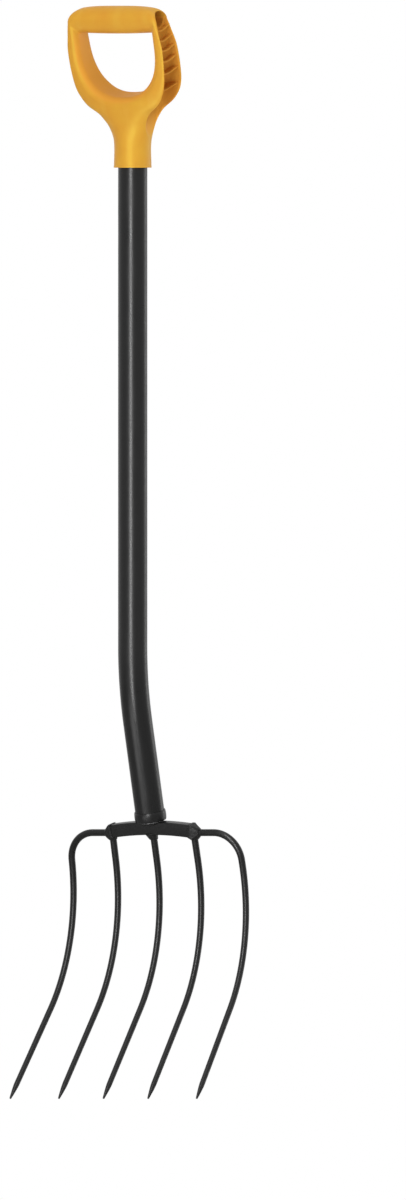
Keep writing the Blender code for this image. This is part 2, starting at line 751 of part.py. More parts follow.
def build_handle():
    handle = add_part("d_handle", handle_body(), "orange_plastic")
    mouth = LEAN_CORNER_Z + COLLAR_BOTTOM
    cut(handle, cylinder("collar_bore", TUBE_RADIUS + FIT_GAP, (0, 0, mouth - 0.01),
                         (0, 0, TUBE_TOP_Z + FIT_GAP), 40))
    cut(handle, opening_cutter())
    rib_edges = [(low + RIB_THICKNESS / 2, high - RIB_THICKNESS / 2)
                 for low, high in zip(RIB_HEIGHTS, RIB_HEIGHTS[1:])]
    rib_edges.append((RIB_HEIGHTS[-1] + RIB_THICKNESS / 2, CHANNEL_TOP))
    scoop = steps_between(RIB_HEIGHTS[0] - RIB_THICKNESS, CHANNEL_TOP, 0.006)
    tail = steps_between(TAIL_FLOOR[0][0], RIB_HEIGHTS[0] - RIB_THICKNESS / 2, 0.0045)
    for side in (-1, 1):
        cut(handle, side_cutter("tail", side, tail, tail_floor, 0.0, 3.0))
        cut(handle, side_cutter("channel", side, scoop, channel_floor, 0.0, 2.4))
        for low, high in rib_edges:
            cut(handle, side_cutter("pocket", side, steps_between(low, high, 0.008), web_face,
                                    POCKET_INSET, 7.0))
        cut(handle, core_cutter(side))
    cut(handle, cylinder("screw_seat", SCREW_HEAD_RADIUS + SCREW_SEAT_ROOM,
                         (0, SCREW_SEAT_Y, SCREW_Z), (0, COLLAR_RADIUS * 1.2, SCREW_Z), 24))
    cut(handle, cylinder("screw_way", SCREW_SHANK_RADIUS + FIT_GAP,
                         (0, TUBE_RADIUS - TUBE_WALL, SCREW_Z), (0, COLLAR_RADIUS, SCREW_Z), 16))


def build_screw():
    """Round-headed screw, its length along -Y from the recess in the collar."""
    profile = []
    steps = 4
    for step in range(steps + 1):
        angle = math.pi / 2 * step / steps
        profile.append((SCREW_HEAD_RADIUS * math.sin(angle), SCREW_HEAD_HEIGHT * math.cos(angle)))
    profile += [(SCREW_SHANK_RADIUS, 0.0), (SCREW_SHANK_RADIUS, SCREW_POINT - SCREW_LENGTH),
                (SCREW_SHANK_RADIUS - SCREW_POINT / 2, -SCREW_LENGTH), (0.0, -SCREW_LENGTH)]
    screw = add_part("handle_screw", turned("handle_screw", profile, SCREW_SIDES), "zinc_plate")
    screw.location = (0.0, SCREW_SEAT_Y + FIT_GAP, SCREW_Z)
    screw.rotation_euler = (math.radians(-90.0), 0.0, 0.0)


parts, cutters = start_scene()
head_axis = bpy.data.objects.new("head_axis", None)
parts.objects.link(head_axis)
head_axis.location = (0.0, HEAD_DISTANCE * math.sin(LEAN),
                      BEND_CORNER_Z - HEAD_DISTANCE * math.cos(LEAN))
head_axis.rotation_euler = (LEAN, 0.0, 0.0)

build_handle()
build_screw()
build_shaft()
build_ferrule(head_axis)
build_plug(head_axis)
build_crossbar(head_axis)
tine_routes = build_tines(head_axis)
build_welds(head_axis, tine_routes)
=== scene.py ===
from math import atan, copysign, cos, pi, radians, sin, sqrt, tan, tau

import bmesh
import bpy
import numpy as np
from mathutils import Matrix, Vector


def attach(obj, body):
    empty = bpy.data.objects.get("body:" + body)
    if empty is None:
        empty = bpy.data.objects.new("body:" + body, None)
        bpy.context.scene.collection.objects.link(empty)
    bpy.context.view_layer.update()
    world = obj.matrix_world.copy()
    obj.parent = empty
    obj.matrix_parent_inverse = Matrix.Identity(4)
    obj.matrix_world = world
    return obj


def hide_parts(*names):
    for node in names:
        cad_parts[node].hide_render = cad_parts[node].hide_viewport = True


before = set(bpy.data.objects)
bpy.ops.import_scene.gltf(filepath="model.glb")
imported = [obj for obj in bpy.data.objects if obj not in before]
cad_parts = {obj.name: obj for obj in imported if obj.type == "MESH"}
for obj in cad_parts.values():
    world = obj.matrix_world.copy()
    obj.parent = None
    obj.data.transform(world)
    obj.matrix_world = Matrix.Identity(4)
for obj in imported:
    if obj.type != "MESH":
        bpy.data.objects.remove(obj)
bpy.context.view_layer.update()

scene = bpy.context.scene
print("manure fork: frame loaded,", len(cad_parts), "nodes")

lean = radians(14.2)      # lower shaft back, D-handle forward
bendZ = 0.489             # where the shaft's two straight lengths would meet
headDistance = 0.1744     # from there to the middle of the crossbar
headCentre = Vector((0.0, headDistance * sin(lean), bendZ - headDistance * cos(lean)))
headPlace = Matrix.Translation(headCentre) @ Matrix.Rotation(lean, 4, "X")


# nodes for materials and geometry

def setInputs(tree, node, values):   # a socket is linked, anything else is a fixed value
    for key, value in values.items():
        if isinstance(value, bpy.types.NodeSocket):
            tree.links.new(value, node.inputs[key])
        else:
            node.inputs[key].default_value = value


def addNode(tree, kind, values=None, **settings):
    node = tree.nodes.new(kind)
    for key, value in settings.items():
        setattr(node, key, value)
    setInputs(tree, node, values or {})
    return node


def nodeOut(tree, kind, values=None, **settings):   # a new node's first output
    return addNode(tree, kind, values, **settings).outputs[0]


def mathNode(tree, operation, *values):   # a value may be a sum of its own, as a tuple
    values = [mathNode(tree, *v) if isinstance(v, tuple) else v for v in values]
    return nodeOut(tree, "ShaderNodeMath", dict(enumerate(values)), operation=operation)


def newMaterial(name):
    material = bpy.data.materials.new(name)
    material.use_nodes = True
    return material, material.node_tree, material.node_tree.nodes["Principled BSDF"]


def objectPoints(tree, scale=(1.0, 1.0, 1.0), turn=(0.0, 0.0, 0.0)):
    place = addNode(tree, "ShaderNodeTexCoord").outputs["Object"]
    return nodeOut(tree, "ShaderNodeMapping", {"Vector": place, "Scale": scale, "Rotation": turn})


def noise(tree, points, scale, detail=4.0, roughness=0.55):
    return nodeOut(tree, "ShaderNodeTexNoise", {
        "Vector": points, "Scale": scale, "Detail": detail, "Roughness": roughness})


def ramp(tree, value, low, high, lowOut=0.0, highOut=1.0):
    return nodeOut(tree, "ShaderNodeMapRange", {
        "Value": value, "From Min": low, "From Max": high, "To Min": lowOut, "To Max": highOut})


def mixColours(tree, share, *pair):
    first, second = (c if isinstance(c, bpy.types.NodeSocket) else (*c, 1.0) for c in pair)
    return addNode(tree, "ShaderNodeMix", {0: share, 6: first, 7: second},
                   data_type="RGBA").outputs[2]


def bump(tree, height, distance, strength, under=None):
    values = {"Height": height, "Distance": distance, "Strength": strength}
    if under is not None:
        values["Normal"] = under
    return nodeOut(tree, "ShaderNodeBump", values)


def grain(tree, points, look, under=None):   # look: scale, detail, height and strength
    scale, detail, height, strength = look
    return bump(tree, noise(tree, points, scale, detail), height, strength, under)


# moulded plastic of the D-handle, with painted shade: darker, redder colour in the hand opening and
# the channels
plasticLook = {
    "body": (0.735, 0.375, 0.042), "warm": (0.700, 0.310, 0.036),
    "pale": (0.770, 0.440, 0.075), "paleShare": 0.35,
    # painted shade: the opening colour is redder and the channel colour darker and redder, standing
    # in for the hollows' shade
    "opening": (0.800, 0.355, 0.050), "openingShadeShare": 0.85,
    "channel": (0.600, 0.255, 0.034), "channelShadeShare": 0.90,
    "roughness": (0.40, 0.48), "scuffRoughness": 0.10, "insideRoughness": 0.24,
    "specular": 0.42, "insideSpecular": 0.06, "specularTint": (0.80, 1.0, 0.16, 1.0),
    "ior": 1.49, "openingShadeMark": 0.5,                     # level of the painted-shade mark in the hand opening, where a channel has 1
    "mottleScale": 22.0, "mottleSpan": (0.35, 0.70), "roughSpan": (0.3, 0.7),
    "paleSpan": (0.52, 0.80), "scuffSpan": (0.55, 0.75),
    "flow": ((60.0, 60.0, 9.0), (0.2, 0.0, 0.0)),        # stretch and turn
    "scuffs": ((420.0, 420.0, 60.0), (0.0, 0.6, 0.3)),
    "grain": (1500.0, 2.0, 0.00002, 0.5),                # scale, detail, height, strength
    "ripple": (90.0, 2.0, 0.00012, 0.35),
}


def orangePlastic():
    look = plasticLook
    material, tree, shader = newMaterial("orangePlastic")
    points = objectPoints(tree)
    broad = noise(tree, points, look["mottleScale"], 3.0)
    flow = noise(tree, objectPoints(tree, *look["flow"]), 1.0, 2.0)
    scuffs = noise(tree, objectPoints(tree, *look["scuffs"]), 1.0, 3.0, 0.7)
    inner = addNode(tree, "ShaderNodeAttribute", attribute_name="innerFace").outputs["Fac"]
    mark = look["openingShadeMark"]
    colour = mixColours(tree, ramp(tree, broad, *look["mottleSpan"]), look["warm"], look["body"])
    # pale flow streaks, then the painted shade of the opening and the channels, laid on by the
    # inner-face mark
    for share, tone in ((ramp(tree, flow, *look["paleSpan"], 0.0, look["paleShare"]), "pale"),
                        (ramp(tree, inner, 0.0, mark, 0.0, look["openingShadeShare"]), "opening"),
                        (ramp(tree, inner, mark, 1.0, 0.0, look["channelShadeShare"]), "channel")):
        colour = mixColours(tree, share, colour, look[tone])
    rough = mathNode(tree, "ADD", ramp(tree, broad, *look["roughSpan"], *look["roughness"]),
                     ramp(tree, scuffs, *look["scuffSpan"], 0.0, look["scuffRoughness"]))
    setInputs(tree, shader, {
        "Base Color": colour, "IOR": look["ior"], "Specular Tint": look["specularTint"],
        "Roughness": mathNode(tree, "MULTIPLY_ADD", inner, look["insideRoughness"], rough),
        "Specular IOR Level": ramp(tree, inner, 0.0, 1.0, look["specular"],
                                   look["insideSpecular"]),
        "Normal": grain(tree, points, look["ripple"], grain(tree, points, look["grain"]))})
    return material


# satin black coating on the shaft, the crossbar and the tines
coatingLook = {
    "black": (0.0058, 0.0058, 0.0059), "worn": (0.0190, 0.0186, 0.0182), "wornShare": 0.5,
    "roughness": (0.27, 0.36), "specular": 0.25, "ior": 1.5,
    "cloudScale": 30.0, "dustSpan": (0.45, 0.75), "roughSpan": (0.3, 0.7),
    "fleckScale": 900.0, "fleckSpan": (0.60, 0.72),
    "peel": (620.0, 2.0, 0.00003, 0.6),                  # scale, detail, height, strength
}


def blackCoating(name, extraRoughness=0.0, lumps=None):
    look = coatingLook
    material, tree, shader = newMaterial(name)
    points = objectPoints(tree)
    cloud = noise(tree, points, look["cloudScale"])
    fleck = noise(tree, points, look["fleckScale"], 3.0, 0.7)
    dust = mathNode(tree, "MULTIPLY", ramp(tree, cloud, *look["dustSpan"], 0.0, look["wornShare"]),
                    ramp(tree, fleck, *look["fleckSpan"]))
    low, high = (rough + extraRoughness for rough in look["roughness"])
    normal = grain(tree, points, look["peel"])
    if lumps:
        normal = grain(tree, points, lumps, normal)
    setInputs(tree, shader, {
        "Base Color": mixColours(tree, dust, look["black"], look["worn"]),
        "Roughness": ramp(tree, cloud, *look["roughSpan"], low, high), "Normal": normal,
        "IOR": look["ior"], "Specular IOR Level": look["specular"]})
    return material


# bare metal: the plug's turning lines and the screw's plating, darker and rougher in spots
metalLook = {"scale": 90.0, "detail": 3.0, "span": (0.3, 0.7), "shade": 0.82, "rougher": 0.12,
             "height": 0.00003, "strength": 0.5}


def bareMetal(name, colour, roughness, squeeze):
    look = metalLook
    material, tree, shader = newMaterial(name)
    lines = noise(tree, objectPoints(tree, (1.0, 1.0, squeeze)), look["scale"], look["detail"])
    shade = mixColours(tree, ramp(tree, lines, *look["span"]), colour,
                       [c * look["shade"] for c in colour])
    setInputs(tree, shader, {
        "Base Color": shade, "Metallic": 1.0,
        "Normal": bump(tree, lines, look["height"], look["strength"]),
        "Roughness": ramp(tree, lines, *look["span"], roughness, roughness + look["rougher"])})
    return material


plastic = orangePlastic()
coating = blackCoating("blackCoating")
forgedCoating = blackCoating("forgedCoating", 0.03, (160.0, 4.0, 0.00004, 1.0))
weldCoating = blackCoating("weldCoating", 0.14, (420.0, 4.0, 0.00018, 1.0))
turnedSteel = bareMetal("turnedSteel", (0.42, 0.42, 0.43), 0.34, 6.0)
zincPlate = bareMetal("zincPlate", (0.58, 0.59, 0.61), 0.26, 1.0)
print("materials made")


# geometry node trees

def geometryTree(name, floats=(), ints=(), objects=()):   # a mesh and a material go in too
    tree = bpy.data.node_groups.new(name, "GeometryNodeTree")
    for kind, labels in (("Geometry", ("Geometry",)), ("Object", objects), ("Float", floats),
                         ("Int", ints), ("Material", ("Material",))):
        for label in labels:
            tree.interface.new_socket(label, in_out="INPUT", socket_type=f"NodeSocket{kind}")
    tree.interface.new_socket("Geometry", in_out="OUTPUT", socket_type="NodeSocketGeometry")
    return tree, tree.nodes.new("NodeGroupInput").outputs


def combine(tree, x=0.0, y=0.0, z=0.0):
    return nodeOut(tree, "ShaderNodeCombineXYZ", {0: x, 1: y, 2: z})


def pointParts(tree):   # each point's own X, Y and Z
    place = nodeOut(tree, "GeometryNodeInputPosition")
    return addNode(tree, "ShaderNodeSeparateXYZ", {0: place}).outputs


def keptNumber(tree, label):   # the number that pathMesh keeps at each point
    return nodeOut(tree, "GeometryNodeInputNamedAttribute", {"Name": label}, data_type="FLOAT")


def pathCurve(tree, given):
    return nodeOut(tree, "GeometryNodeMeshToCurve", {"Mesh": given["Geometry"]})


def shifted(tree, geometry, offset):
    return nodeOut(tree, "GeometryNodeSetPosition", {"Geometry": geometry, "Offset": offset})


def sweep(tree, curve, profile, more=None):
    return nodeOut(tree, "GeometryNodeCurveToMesh",
                   {"Curve": curve, "Profile Curve": profile, **(more or {})})


def roundProfile(tree, sides, radius):
    return nodeOut(tree, "GeometryNodeCurvePrimitiveCircle",
                   {"Resolution": sides, "Radius": radius})


def setOnPoints(tree, points, instance, turn, scale):
    return nodeOut(tree, "GeometryNodeInstanceOnPoints", {
        "Points": points, "Instance": instance, "Rotation": turn, "Scale": scale})


def finishTree(tree, geometry, given):   # every tree ends as real, coloured mesh
    real = nodeOut(tree, "GeometryNodeRealizeInstances", {"Geometry": geometry})
    painted = nodeOut(tree, "GeometryNodeSetMaterial", {"Geometry": real,
                                                        "Material": given["Material"]})
    addNode(tree, "NodeGroupOutput", {0: painted})
    return tree


def linkPiece(name, mesh):
    piece = bpy.data.objects.new(name, mesh)
    scene.collection.objects.link(piece)
    return piece


def liveMesh(piece):   # the mesh that a piece's modifiers make
    bpy.context.view_layer.update()
    return bpy.data.meshes.new_from_object(
        piece.evaluated_get(bpy.context.evaluated_depsgraph_get()))


def runTree(name, tree, mesh, material, values):   # the tree's result as a plain mesh
    values = {"Material": material, **values}
    holder = linkPiece(name, mesh)
    modifier = holder.modifiers.new("tree", "NODES")
    modifier.node_group = tree
    for item in tree.interface.items_tree:
        if item.in_out == "INPUT" and item.name in values:
            modifier[item.identifier] = values[item.name]
    result = liveMesh(holder)
    bpy.data.objects.remove(holder)
    result.name = name
    return result


def pathMesh(name, points, **attributes):   # a line of edges, with a number kept at each point
    mesh = bpy.data.meshes.new(name)
    mesh.from_pydata([tuple(p) for p in points],
                     [(i, i + 1) for i in range(len(points) - 1)], [])
    for label, numbers in attributes.items():
        layer = mesh.attributes.new(label, "FLOAT", "POINT")
        layer.data.foreach_set("value", numbers)
    return mesh


# mesh helpers

def settle(piece):   # turns live modifiers into the mesh itself
    old, piece.data = piece.data, liveMesh(piece)
    piece.modifiers.clear()
    if old.users == 0:
        bpy.data.meshes.remove(old)
    return piece


def finishPiece(piece, material, nodeName, sharpAngle):
    mesh = piece.data
    mesh.materials.clear()
    mesh.materials.append(material)
    mesh.shade_smooth()
    mesh.set_sharp_from_angle(angle=radians(sharpAngle))
    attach(piece, "root")
    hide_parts(nodeName)
    return piece


def meshFrom(bm, name, outward=False):   # outward turns a closed mesh's faces out
    if outward:
        bmesh.ops.recalc_face_normals(bm, faces=bm.faces)
    mesh = bpy.data.meshes.new(name)
    bm.to_mesh(mesh)
    bm.free()
    return mesh


def joinMeshes(name, meshes, outward=False):
    bm = bmesh.new()
    for mesh in meshes:
        bm.from_mesh(mesh)
    return meshFrom(bm, name, outward)


def skinRings(name, rings):
    bm = bmesh.new()
    rows = [[bm.verts.new(point) for point in ring] for ring in rings]
    for low, high in zip(rows, rows[1:]):
        for i in range(len(low)):
            j = (i + 1) % len(low)
            bm.faces.new((low[i], low[j], high[j], high[i]))
    bm.faces.new(rows[0])
    bm.faces.new(rows[-1])
    return meshFrom(bm, name, outward=True)


def spinProfile(name, profile, sides):   # closed outline of radius and height, turned round Z
    bm = bmesh.new()
    verts = [bm.verts.new((radius, 0.0, height)) for radius, height in profile]
    edges = [bm.edges.new(pair) for pair in zip(verts, verts[1:] + verts[:1])]
    bmesh.ops.spin(bm, geom=verts + edges, cent=(0, 0, 0), axis=(0, 0, 1),
                   angle=tau, steps=sides, use_merge=True)
    bmesh.ops.remove_doubles(bm, verts=bm.verts, dist=0.00001)
    return meshFrom(bm, name, outward=True)


def cylinderMesh(name, radius, start, end, sides):
    start, end = Vector(start), Vector(end)
    bm = bmesh.new()
    bmesh.ops.create_cone(bm, cap_ends=True, segments=sides, radius1=radius, radius2=radius,
                          depth=(end - start).length)
    turn = (end - start).to_track_quat("Z", "Y").to_matrix().to_4x4()
    bmesh.ops.transform(bm, verts=bm.verts, matrix=Matrix.Translation((start + end) / 2) @ turn)
    return meshFrom(bm, name)


def takeOut(piece, cutterMeshes, operation="DIFFERENCE"):   # exact Boolean with each in turn
    cutters = []
    for index, mesh in enumerate(cutterMeshes):
        cutters.append(linkPiece(f"{piece.name}Cutter{index}", mesh))
        modifier = piece.modifiers.new(cutters[-1].name, "BOOLEAN")
        modifier.operation = operation
        modifier.solver = "EXACT"
        modifier.object = cutters[-1]
    settle(piece)
    for cutter in cutters:
        bpy.data.objects.remove(cutter)
    return piece


def melt(piece, voxel, rounds):   # fuses overlapping solids and softens their edges
    remesh = piece.modifiers.new("fuse", "REMESH")
    remesh.mode = "VOXEL"
    remesh.voxel_size = voxel
    soften = piece.modifiers.new("soften", "SMOOTH")
    soften.iterations = rounds
    return settle(piece)


def clamp(value, low=0.0, high=1.0):
    return min(max(value, low), high)


def ease(value):   # a smooth step from 0 to 1
    share = clamp(value)
    return share ** 2 * (3 - 2 * share)


def arc(turn, steps):   # the angles of even steps from 0 to a turn
    return [turn * step / steps for step in range(steps + 1)]


def power(value, exponent):   # keeps the value's sign
    return copysign(abs(value) ** exponent, value)


def superellipse(halfA, halfB, squareness, count):
    angles = [tau * (i + 0.5) / count for i in range(count)]
    return [(halfA * power(cos(angle), 2 / squareness),
             halfB * power(sin(angle), 2 / squareness)) for angle in angles]


def between(stations, height):   # smooth curve through rows that start with a height
    height = clamp(height, stations[0][0], stations[-1][0])
    i = next(i for i in range(len(stations) - 1) if height <= stations[i + 1][0])
    span = stations[i + 1][0] - stations[i][0]
    share = (height - stations[i][0]) / span
    values = []
    for column in range(1, len(stations[0])):
        slopes = []
        for k in (i, i + 1):
            below, above = stations[max(k - 1, 0)], stations[min(k + 1, len(stations) - 1)]
            slopes.append((above[column] - below[column]) / (above[0] - below[0]) * span)
        start, end = stations[i][column], stations[i + 1][column]
        values.append((2 * share ** 3 - 3 * share ** 2 + 1) * start
                      + (share ** 3 - 2 * share ** 2 + share) * slopes[0]
                      + (3 * share ** 2 - 2 * share ** 3) * end
                      + (share ** 3 - share ** 2) * slopes[1])
    return values


# D-handle: heights run along it, from where its upright and leaning axes would meet
handle = {
    "cornerZ": 1.145, "blend": 0.0125, "ringStep": 0.0018,
    "collarBottom": -0.047, "boreRadius": 0.0176, "boreTopZ": 1.1493,
    "gripRadius": 0.0164, "gripFade": 0.012, "gripEnd": radians(87.0), "gripReach": 0.9998,
    "gripCorner": (0.0200, 0.0161),                      # width and height of its rounding
    "gripCrown": (0.0016, 0.0021),                       # above and below
    "core": (0.0122, 0.0098),                            # half depth and half height
    "coreRise": 0.0006, "coreSquareness": 2.2,
    "coreStations": (0.008, 0.020, 0.040, 0.060, 0.080),
    "openingHalfWidth": 0.0515, "openingBottom": 0.0405, "openingShoulder": 0.0995,
    "openingRoundness": 2.35, "openingCorner": 0.003,
    "sideFillet": 0.009, "bottomFillet": 0.011, "filletRunOn": 0.0006, "openingPast": 1.03,
    "webThickness": 0.0036, "channelTop": 0.0005, "channelRise": 0.0012, "floorReach": 0.995,
    "floorSquareness": (3.0, 8.0), "squareFrom": 0.030, "squareSpan": 0.02,
    "floorBelow": 0.004, "floorSpan": 0.006, "lipRadius": 0.0006, "lipOut": 0.0016,
    "lipAside": 0.0062, "lipStart": 0.028, "lipFade": 0.014, "lipTurn": radians(75.0),
    "cutReach": 0.012,
    "ribHeights": (0.0500, 0.0705, 0.0855, 0.0985, 0.1105, 0.1230), "ribThickness": 0.0021,
    "ribScoop": 0.30, "ribEndDepth": 0.13, "ribRounding": 0.07, "ribSag": 0.0045,
    "ribRoot": -0.05, "ribShort": 0.0004, "ribOverlap": 0.0007,
    "screwSeat": (0.0208, 0.03, 0.0047), "screwWay": (0.015, 0.025, 0.0023),   # from, to, radius
    "screwZ": 1.119, "shortestEdge": 0.00003, "thinnestTriangle": 0.000002,
}
totalHeight = 1.289
gripHeight = (totalHeight - handle["gripRadius"] - handle["cornerZ"]) / cos(lean)

# height, half width, half depth, setback of both sides, squareness
handleStations = (
    (handle["collarBottom"], 0.02235, 0.02235, 0.0, 2.0),
    (handle["collarBottom"] + 0.0015, 0.02235, 0.02235, 0.0, 2.0),
    (handle["collarBottom"] + 0.0025, 0.02215, 0.02215, 0.0, 2.0),
    (-0.0160, 0.02215, 0.02215, 0.0, 2.0),
    (0.0020, 0.0282, 0.0221, 0.0002, 2.1),
    (0.0120, 0.0337, 0.0221, 0.0012, 2.5),
    (0.0210, 0.0399, 0.0221, 0.0025, 3.6),
    (0.0300, 0.0510, 0.0221, 0.0038, 6.0),
    (0.0407, 0.0583, 0.0221, 0.0048, 10.0),
    (0.0504, 0.0616, 0.0219, 0.0043, 15.0),
    (0.0620, 0.0641, 0.0206, 0.0034, 20.0),
    (0.0800, 0.0661, 0.0193, 0.0020, 20.0),
    (0.0990, 0.0663, 0.0180, 0.0008, 20.0),
    (0.1160, 0.0645, 0.0167, -0.0008, 13.0),
    (0.1325, 0.0624, 0.0164, -0.0022, 8.0),
)

# height, front edge and back edge of the channel in each arm's outer side
channelEdges = (
    (-0.0180, -0.0120, 0.0110),
    (0.0020, -0.0138, 0.0115),
    (0.0134, -0.0148, 0.0125),
    (0.0250, -0.0150, 0.0155),
    (0.0360, -0.0151, 0.0195),
    (0.0500, -0.0155, 0.0228),
    (0.0620, -0.0157, 0.0206),
    (0.0800, -0.0160, 0.0179),
    (0.0990, -0.0157, 0.0154),
    (0.1180, -0.0153, 0.0133),
    (0.1325, -0.0140, 0.0112),
)

# height and distance from the middle of the floor below the lowest rib
tailFloor = (
    (-0.0172, 0.0227),
    (0.0020, 0.0246),
    (0.0134, 0.0272),
    (0.0250, 0.0318),
    (0.0360, 0.0365),
    (0.0500, 0.0400),
)


def shortEdges(bm):   # those that can shrink to a point without harm
    used, chosen = set(), []
    for edge in bm.edges:
        if edge.calc_length() > handle["shortestEdge"]:
            continue
        first, second = ({e.other_vert(vert) for e in vert.link_edges} for vert in edge.verts)
        tips = {vert for face in edge.link_faces for vert in face.verts} - set(edge.verts)
        if first & second == tips and not (first | second) & used:
            used |= first | second
            chosen.append(edge)
    return chosen


def sliverEdges(bm):   # long sides of the triangles that have almost no height
    used, chosen = set(), []
    for face in bm.faces:
        edge = max(face.edges, key=lambda side: side.calc_length())
        if 2 * face.calc_area() > handle["thinnestTriangle"] * edge.calc_length():
            continue
        tips = {vert for near in edge.link_faces for vert in near.verts} - set(edge.verts)
        if len(tips) == 2 and bm.edges.get(tuple(tips)) is None and not tips & used:
            used |= tips | set(edge.verts)
            chosen.append(edge)
    return chosen


def tidyMesh(mesh, collapseRounds=10, turnRounds=4):   # triangles, without tiny edges or slivers
    bm = bmesh.new()
    bm.from_mesh(mesh)
    bmesh.ops.triangulate(bm, faces=bm.faces, quad_method="SHORT_EDGE")
    for turn in range(collapseRounds):
        bmesh.ops.collapse(bm, edges=shortEdges(bm))
    for turn in range(turnRounds):
        bmesh.ops.rotate_edges(bm, edges=sliverEdges(bm))
    print("open or doubled edges:", sum(not edge.is_manifold for edge in bm.edges),
          "slivers:", len(sliverEdges(bm)), "triangles:", len(bm.faces))
    bm.to_mesh(mesh)
    bm.free()


def handlePlace(height, x, y):
    blend = handle["blend"]
    angle = lean * clamp((height + blend) / (2 * blend))
    radius = blend / tan(lean / 2)
    upright = min(height, -blend)
    leaning = max(height - blend, 0.0)
    centreY = -radius * (1 - cos(angle)) - leaning * sin(angle)
    centreZ = (handle["cornerZ"] + upright + radius * sin(angle)
               + leaning * cos(angle))
    return Vector((x, centreY + y * cos(angle), centreZ + y * sin(angle)))


def gripDrop(height, across):   # the grip is a barrel, lower towards its ends
    share = clamp((height - gripHeight + handle["gripFade"]) / handle["gripFade"])
    return handle["gripCrown"][0] * share * across ** 4


def sectionShares(squareness, count=48):   # points round a unit section, closer at its corners
    corner = 0.5 ** (1 / squareness)
    shares = []
    for side in range(4):
        for i in range(count):
            along = corner * sin(pi / 2 * ((2 * i + 1) / count - 1))
            out = (1 - abs(along) ** squareness) ** (1 / squareness)
            shares.append(((out, along), (-along, out), (-out, -along), (along, -out))[side])
    return shares


def bodyRing(height, halfWidth, halfDepth, setback, squareness):
    return [handlePlace(height - gripDrop(height, a), a * halfWidth,
                        b * halfDepth + setback * a ** 2)
            for a, b in sectionShares(squareness)]


def handleBody(topSteps=22):
    rings = []
    for low, high in zip(handleStations, handleStations[1:]):
        steps = max(1, round((high[0] - low[0]) / handle["ringStep"]))
        for step in range(steps):
            height = low[0] + (high[0] - low[0]) * step / steps
            rings.append(bodyRing(height, *between(handleStations, height)))
    topWidth, _, topSetback, topSquareness = between(handleStations, gripHeight)
    cornerWidth, cornerHeight = handle["gripCorner"]
    radius = handle["gripRadius"]
    for angle in arc(handle["gripEnd"], topSteps):   # over the grip's round top
        rise = radius * sin(angle)
        over = max(rise - (radius - cornerHeight), 0.0) / cornerHeight
        corner = cornerWidth * (1 - sqrt(max(1 - over ** 2, 0.0)))
        rings.append(bodyRing(gripHeight + rise, topWidth - corner,
                              radius * cos(angle), topSetback, topSquareness))
    return skinRings("handleBody", rings)


def fillet(radius, start, depth, most=0.992):   # a quarter round, then straight on for a bit
    reach = clamp(depth - start, 0.0, most * radius)
    root = sqrt(radius ** 2 - reach ** 2)
    onward = clamp(depth - start - most * radius, 0.0, handle["filletRunOn"])
    return radius - root + onward * reach / root


def makeOutline(steps=144, gripSteps=24):
    width, bottom, shoulder = (handle[key] for key in
                               ("openingHalfWidth", "openingBottom", "openingShoulder"))
    exponent = 2 / handle["openingRoundness"]
    corner = handle["openingCorner"]
    gripBottom = gripHeight - handle["gripRadius"]
    outline = []
    for step in range(steps + 1):
        angle = pi * (1 + step / steps)
        side = power(cos(angle), exponent)
        down = abs(sin(angle)) ** exponent
        outline.append((width * side, shoulder - (shoulder - bottom) * down, side, down, 0.0))
    right, left = ([(side * (width - corner * (1 - cos(turn))),
                     gripBottom - corner * (1 - sin(turn)), side, 0.0, 1.0)
                    for turn in arc(pi / 2, 4)] for side in (1, -1))
    underGrip = [((width - corner) * (1 - 2 * step / gripSteps), gripBottom, 0.0, 0.0, 1.0)
                 for step in range(1, gripSteps)]
    return outline + right + underGrip + left[::-1]


def openingRows(steps=36, outside=1.5):   # the outline at one depth after another
    past = handle["openingPast"]
    shares = [sin(angle) for angle in arc(pi / 2, steps)[:-2]] + [past, outside]
    rows = []   # of distance across, height and depth
    for level in [-share for share in reversed(shares[1:])] + shares:
        row = []
        for x, height, side, down, up in openingOutline:
            halfWidth, halfDepth, setback, _ = between(handleStations, height)
            depth = min(abs(level), past) * halfDepth
            crown = up * handle["gripCrown"][1] * (x / halfWidth) ** 2
            x += side * fillet(handle["sideFillet"], halfDepth - handle["sideFillet"], depth)
            low = fillet(handle["bottomFillet"], halfDepth - handle["bottomFillet"], depth)
            high = crown + fillet(handle["gripRadius"], 0.0, min(depth, halfDepth),
                                  handle["gripReach"])
            height += up * high - down * low
            if not up:
                halfWidth, halfDepth, setback, _ = between(handleStations, height)
            row.append((x, height, setback * (x / halfWidth) ** 2 + level * halfDepth))
        rows.append(row)
    return np.array(rows)


openingOutline = makeOutline()   # across, height, and which way each point gives way
openingTable = openingRows()


def openingCutter():
    return skinRings("handOpening", [[handlePlace(height, x, depth) for x, height, depth in row]
                                     for row in openingTable.tolist()])


def openingWall(depth):   # the opening's right side at a depth, as distance across and height
    return [tuple(np.interp(depth, openingTable[:, i, 2], openingTable[:, i, k]) for k in (0, 1))
            for i, point in enumerate(openingOutline) if point[2] > 0]


def channelFloor(height, wall):   # one web's thickness away from the opening's wall
    web = handle["webThickness"]
    reaches = [x + sqrt(web ** 2 - (height - z) ** 2)
               for x, z in wall if abs(height - z) < web]
    if height > handle["openingShoulder"]:
        reaches.append(max(x for x, _ in wall) + web)
    low = between(tailFloor, height)[0]
    high = max(reaches) if reaches else 0.0
    share = ease((height - handle["ribHeights"][0] + handle["floorBelow"]) / handle["floorSpan"])
    return max(high, low + (high - low) * share)


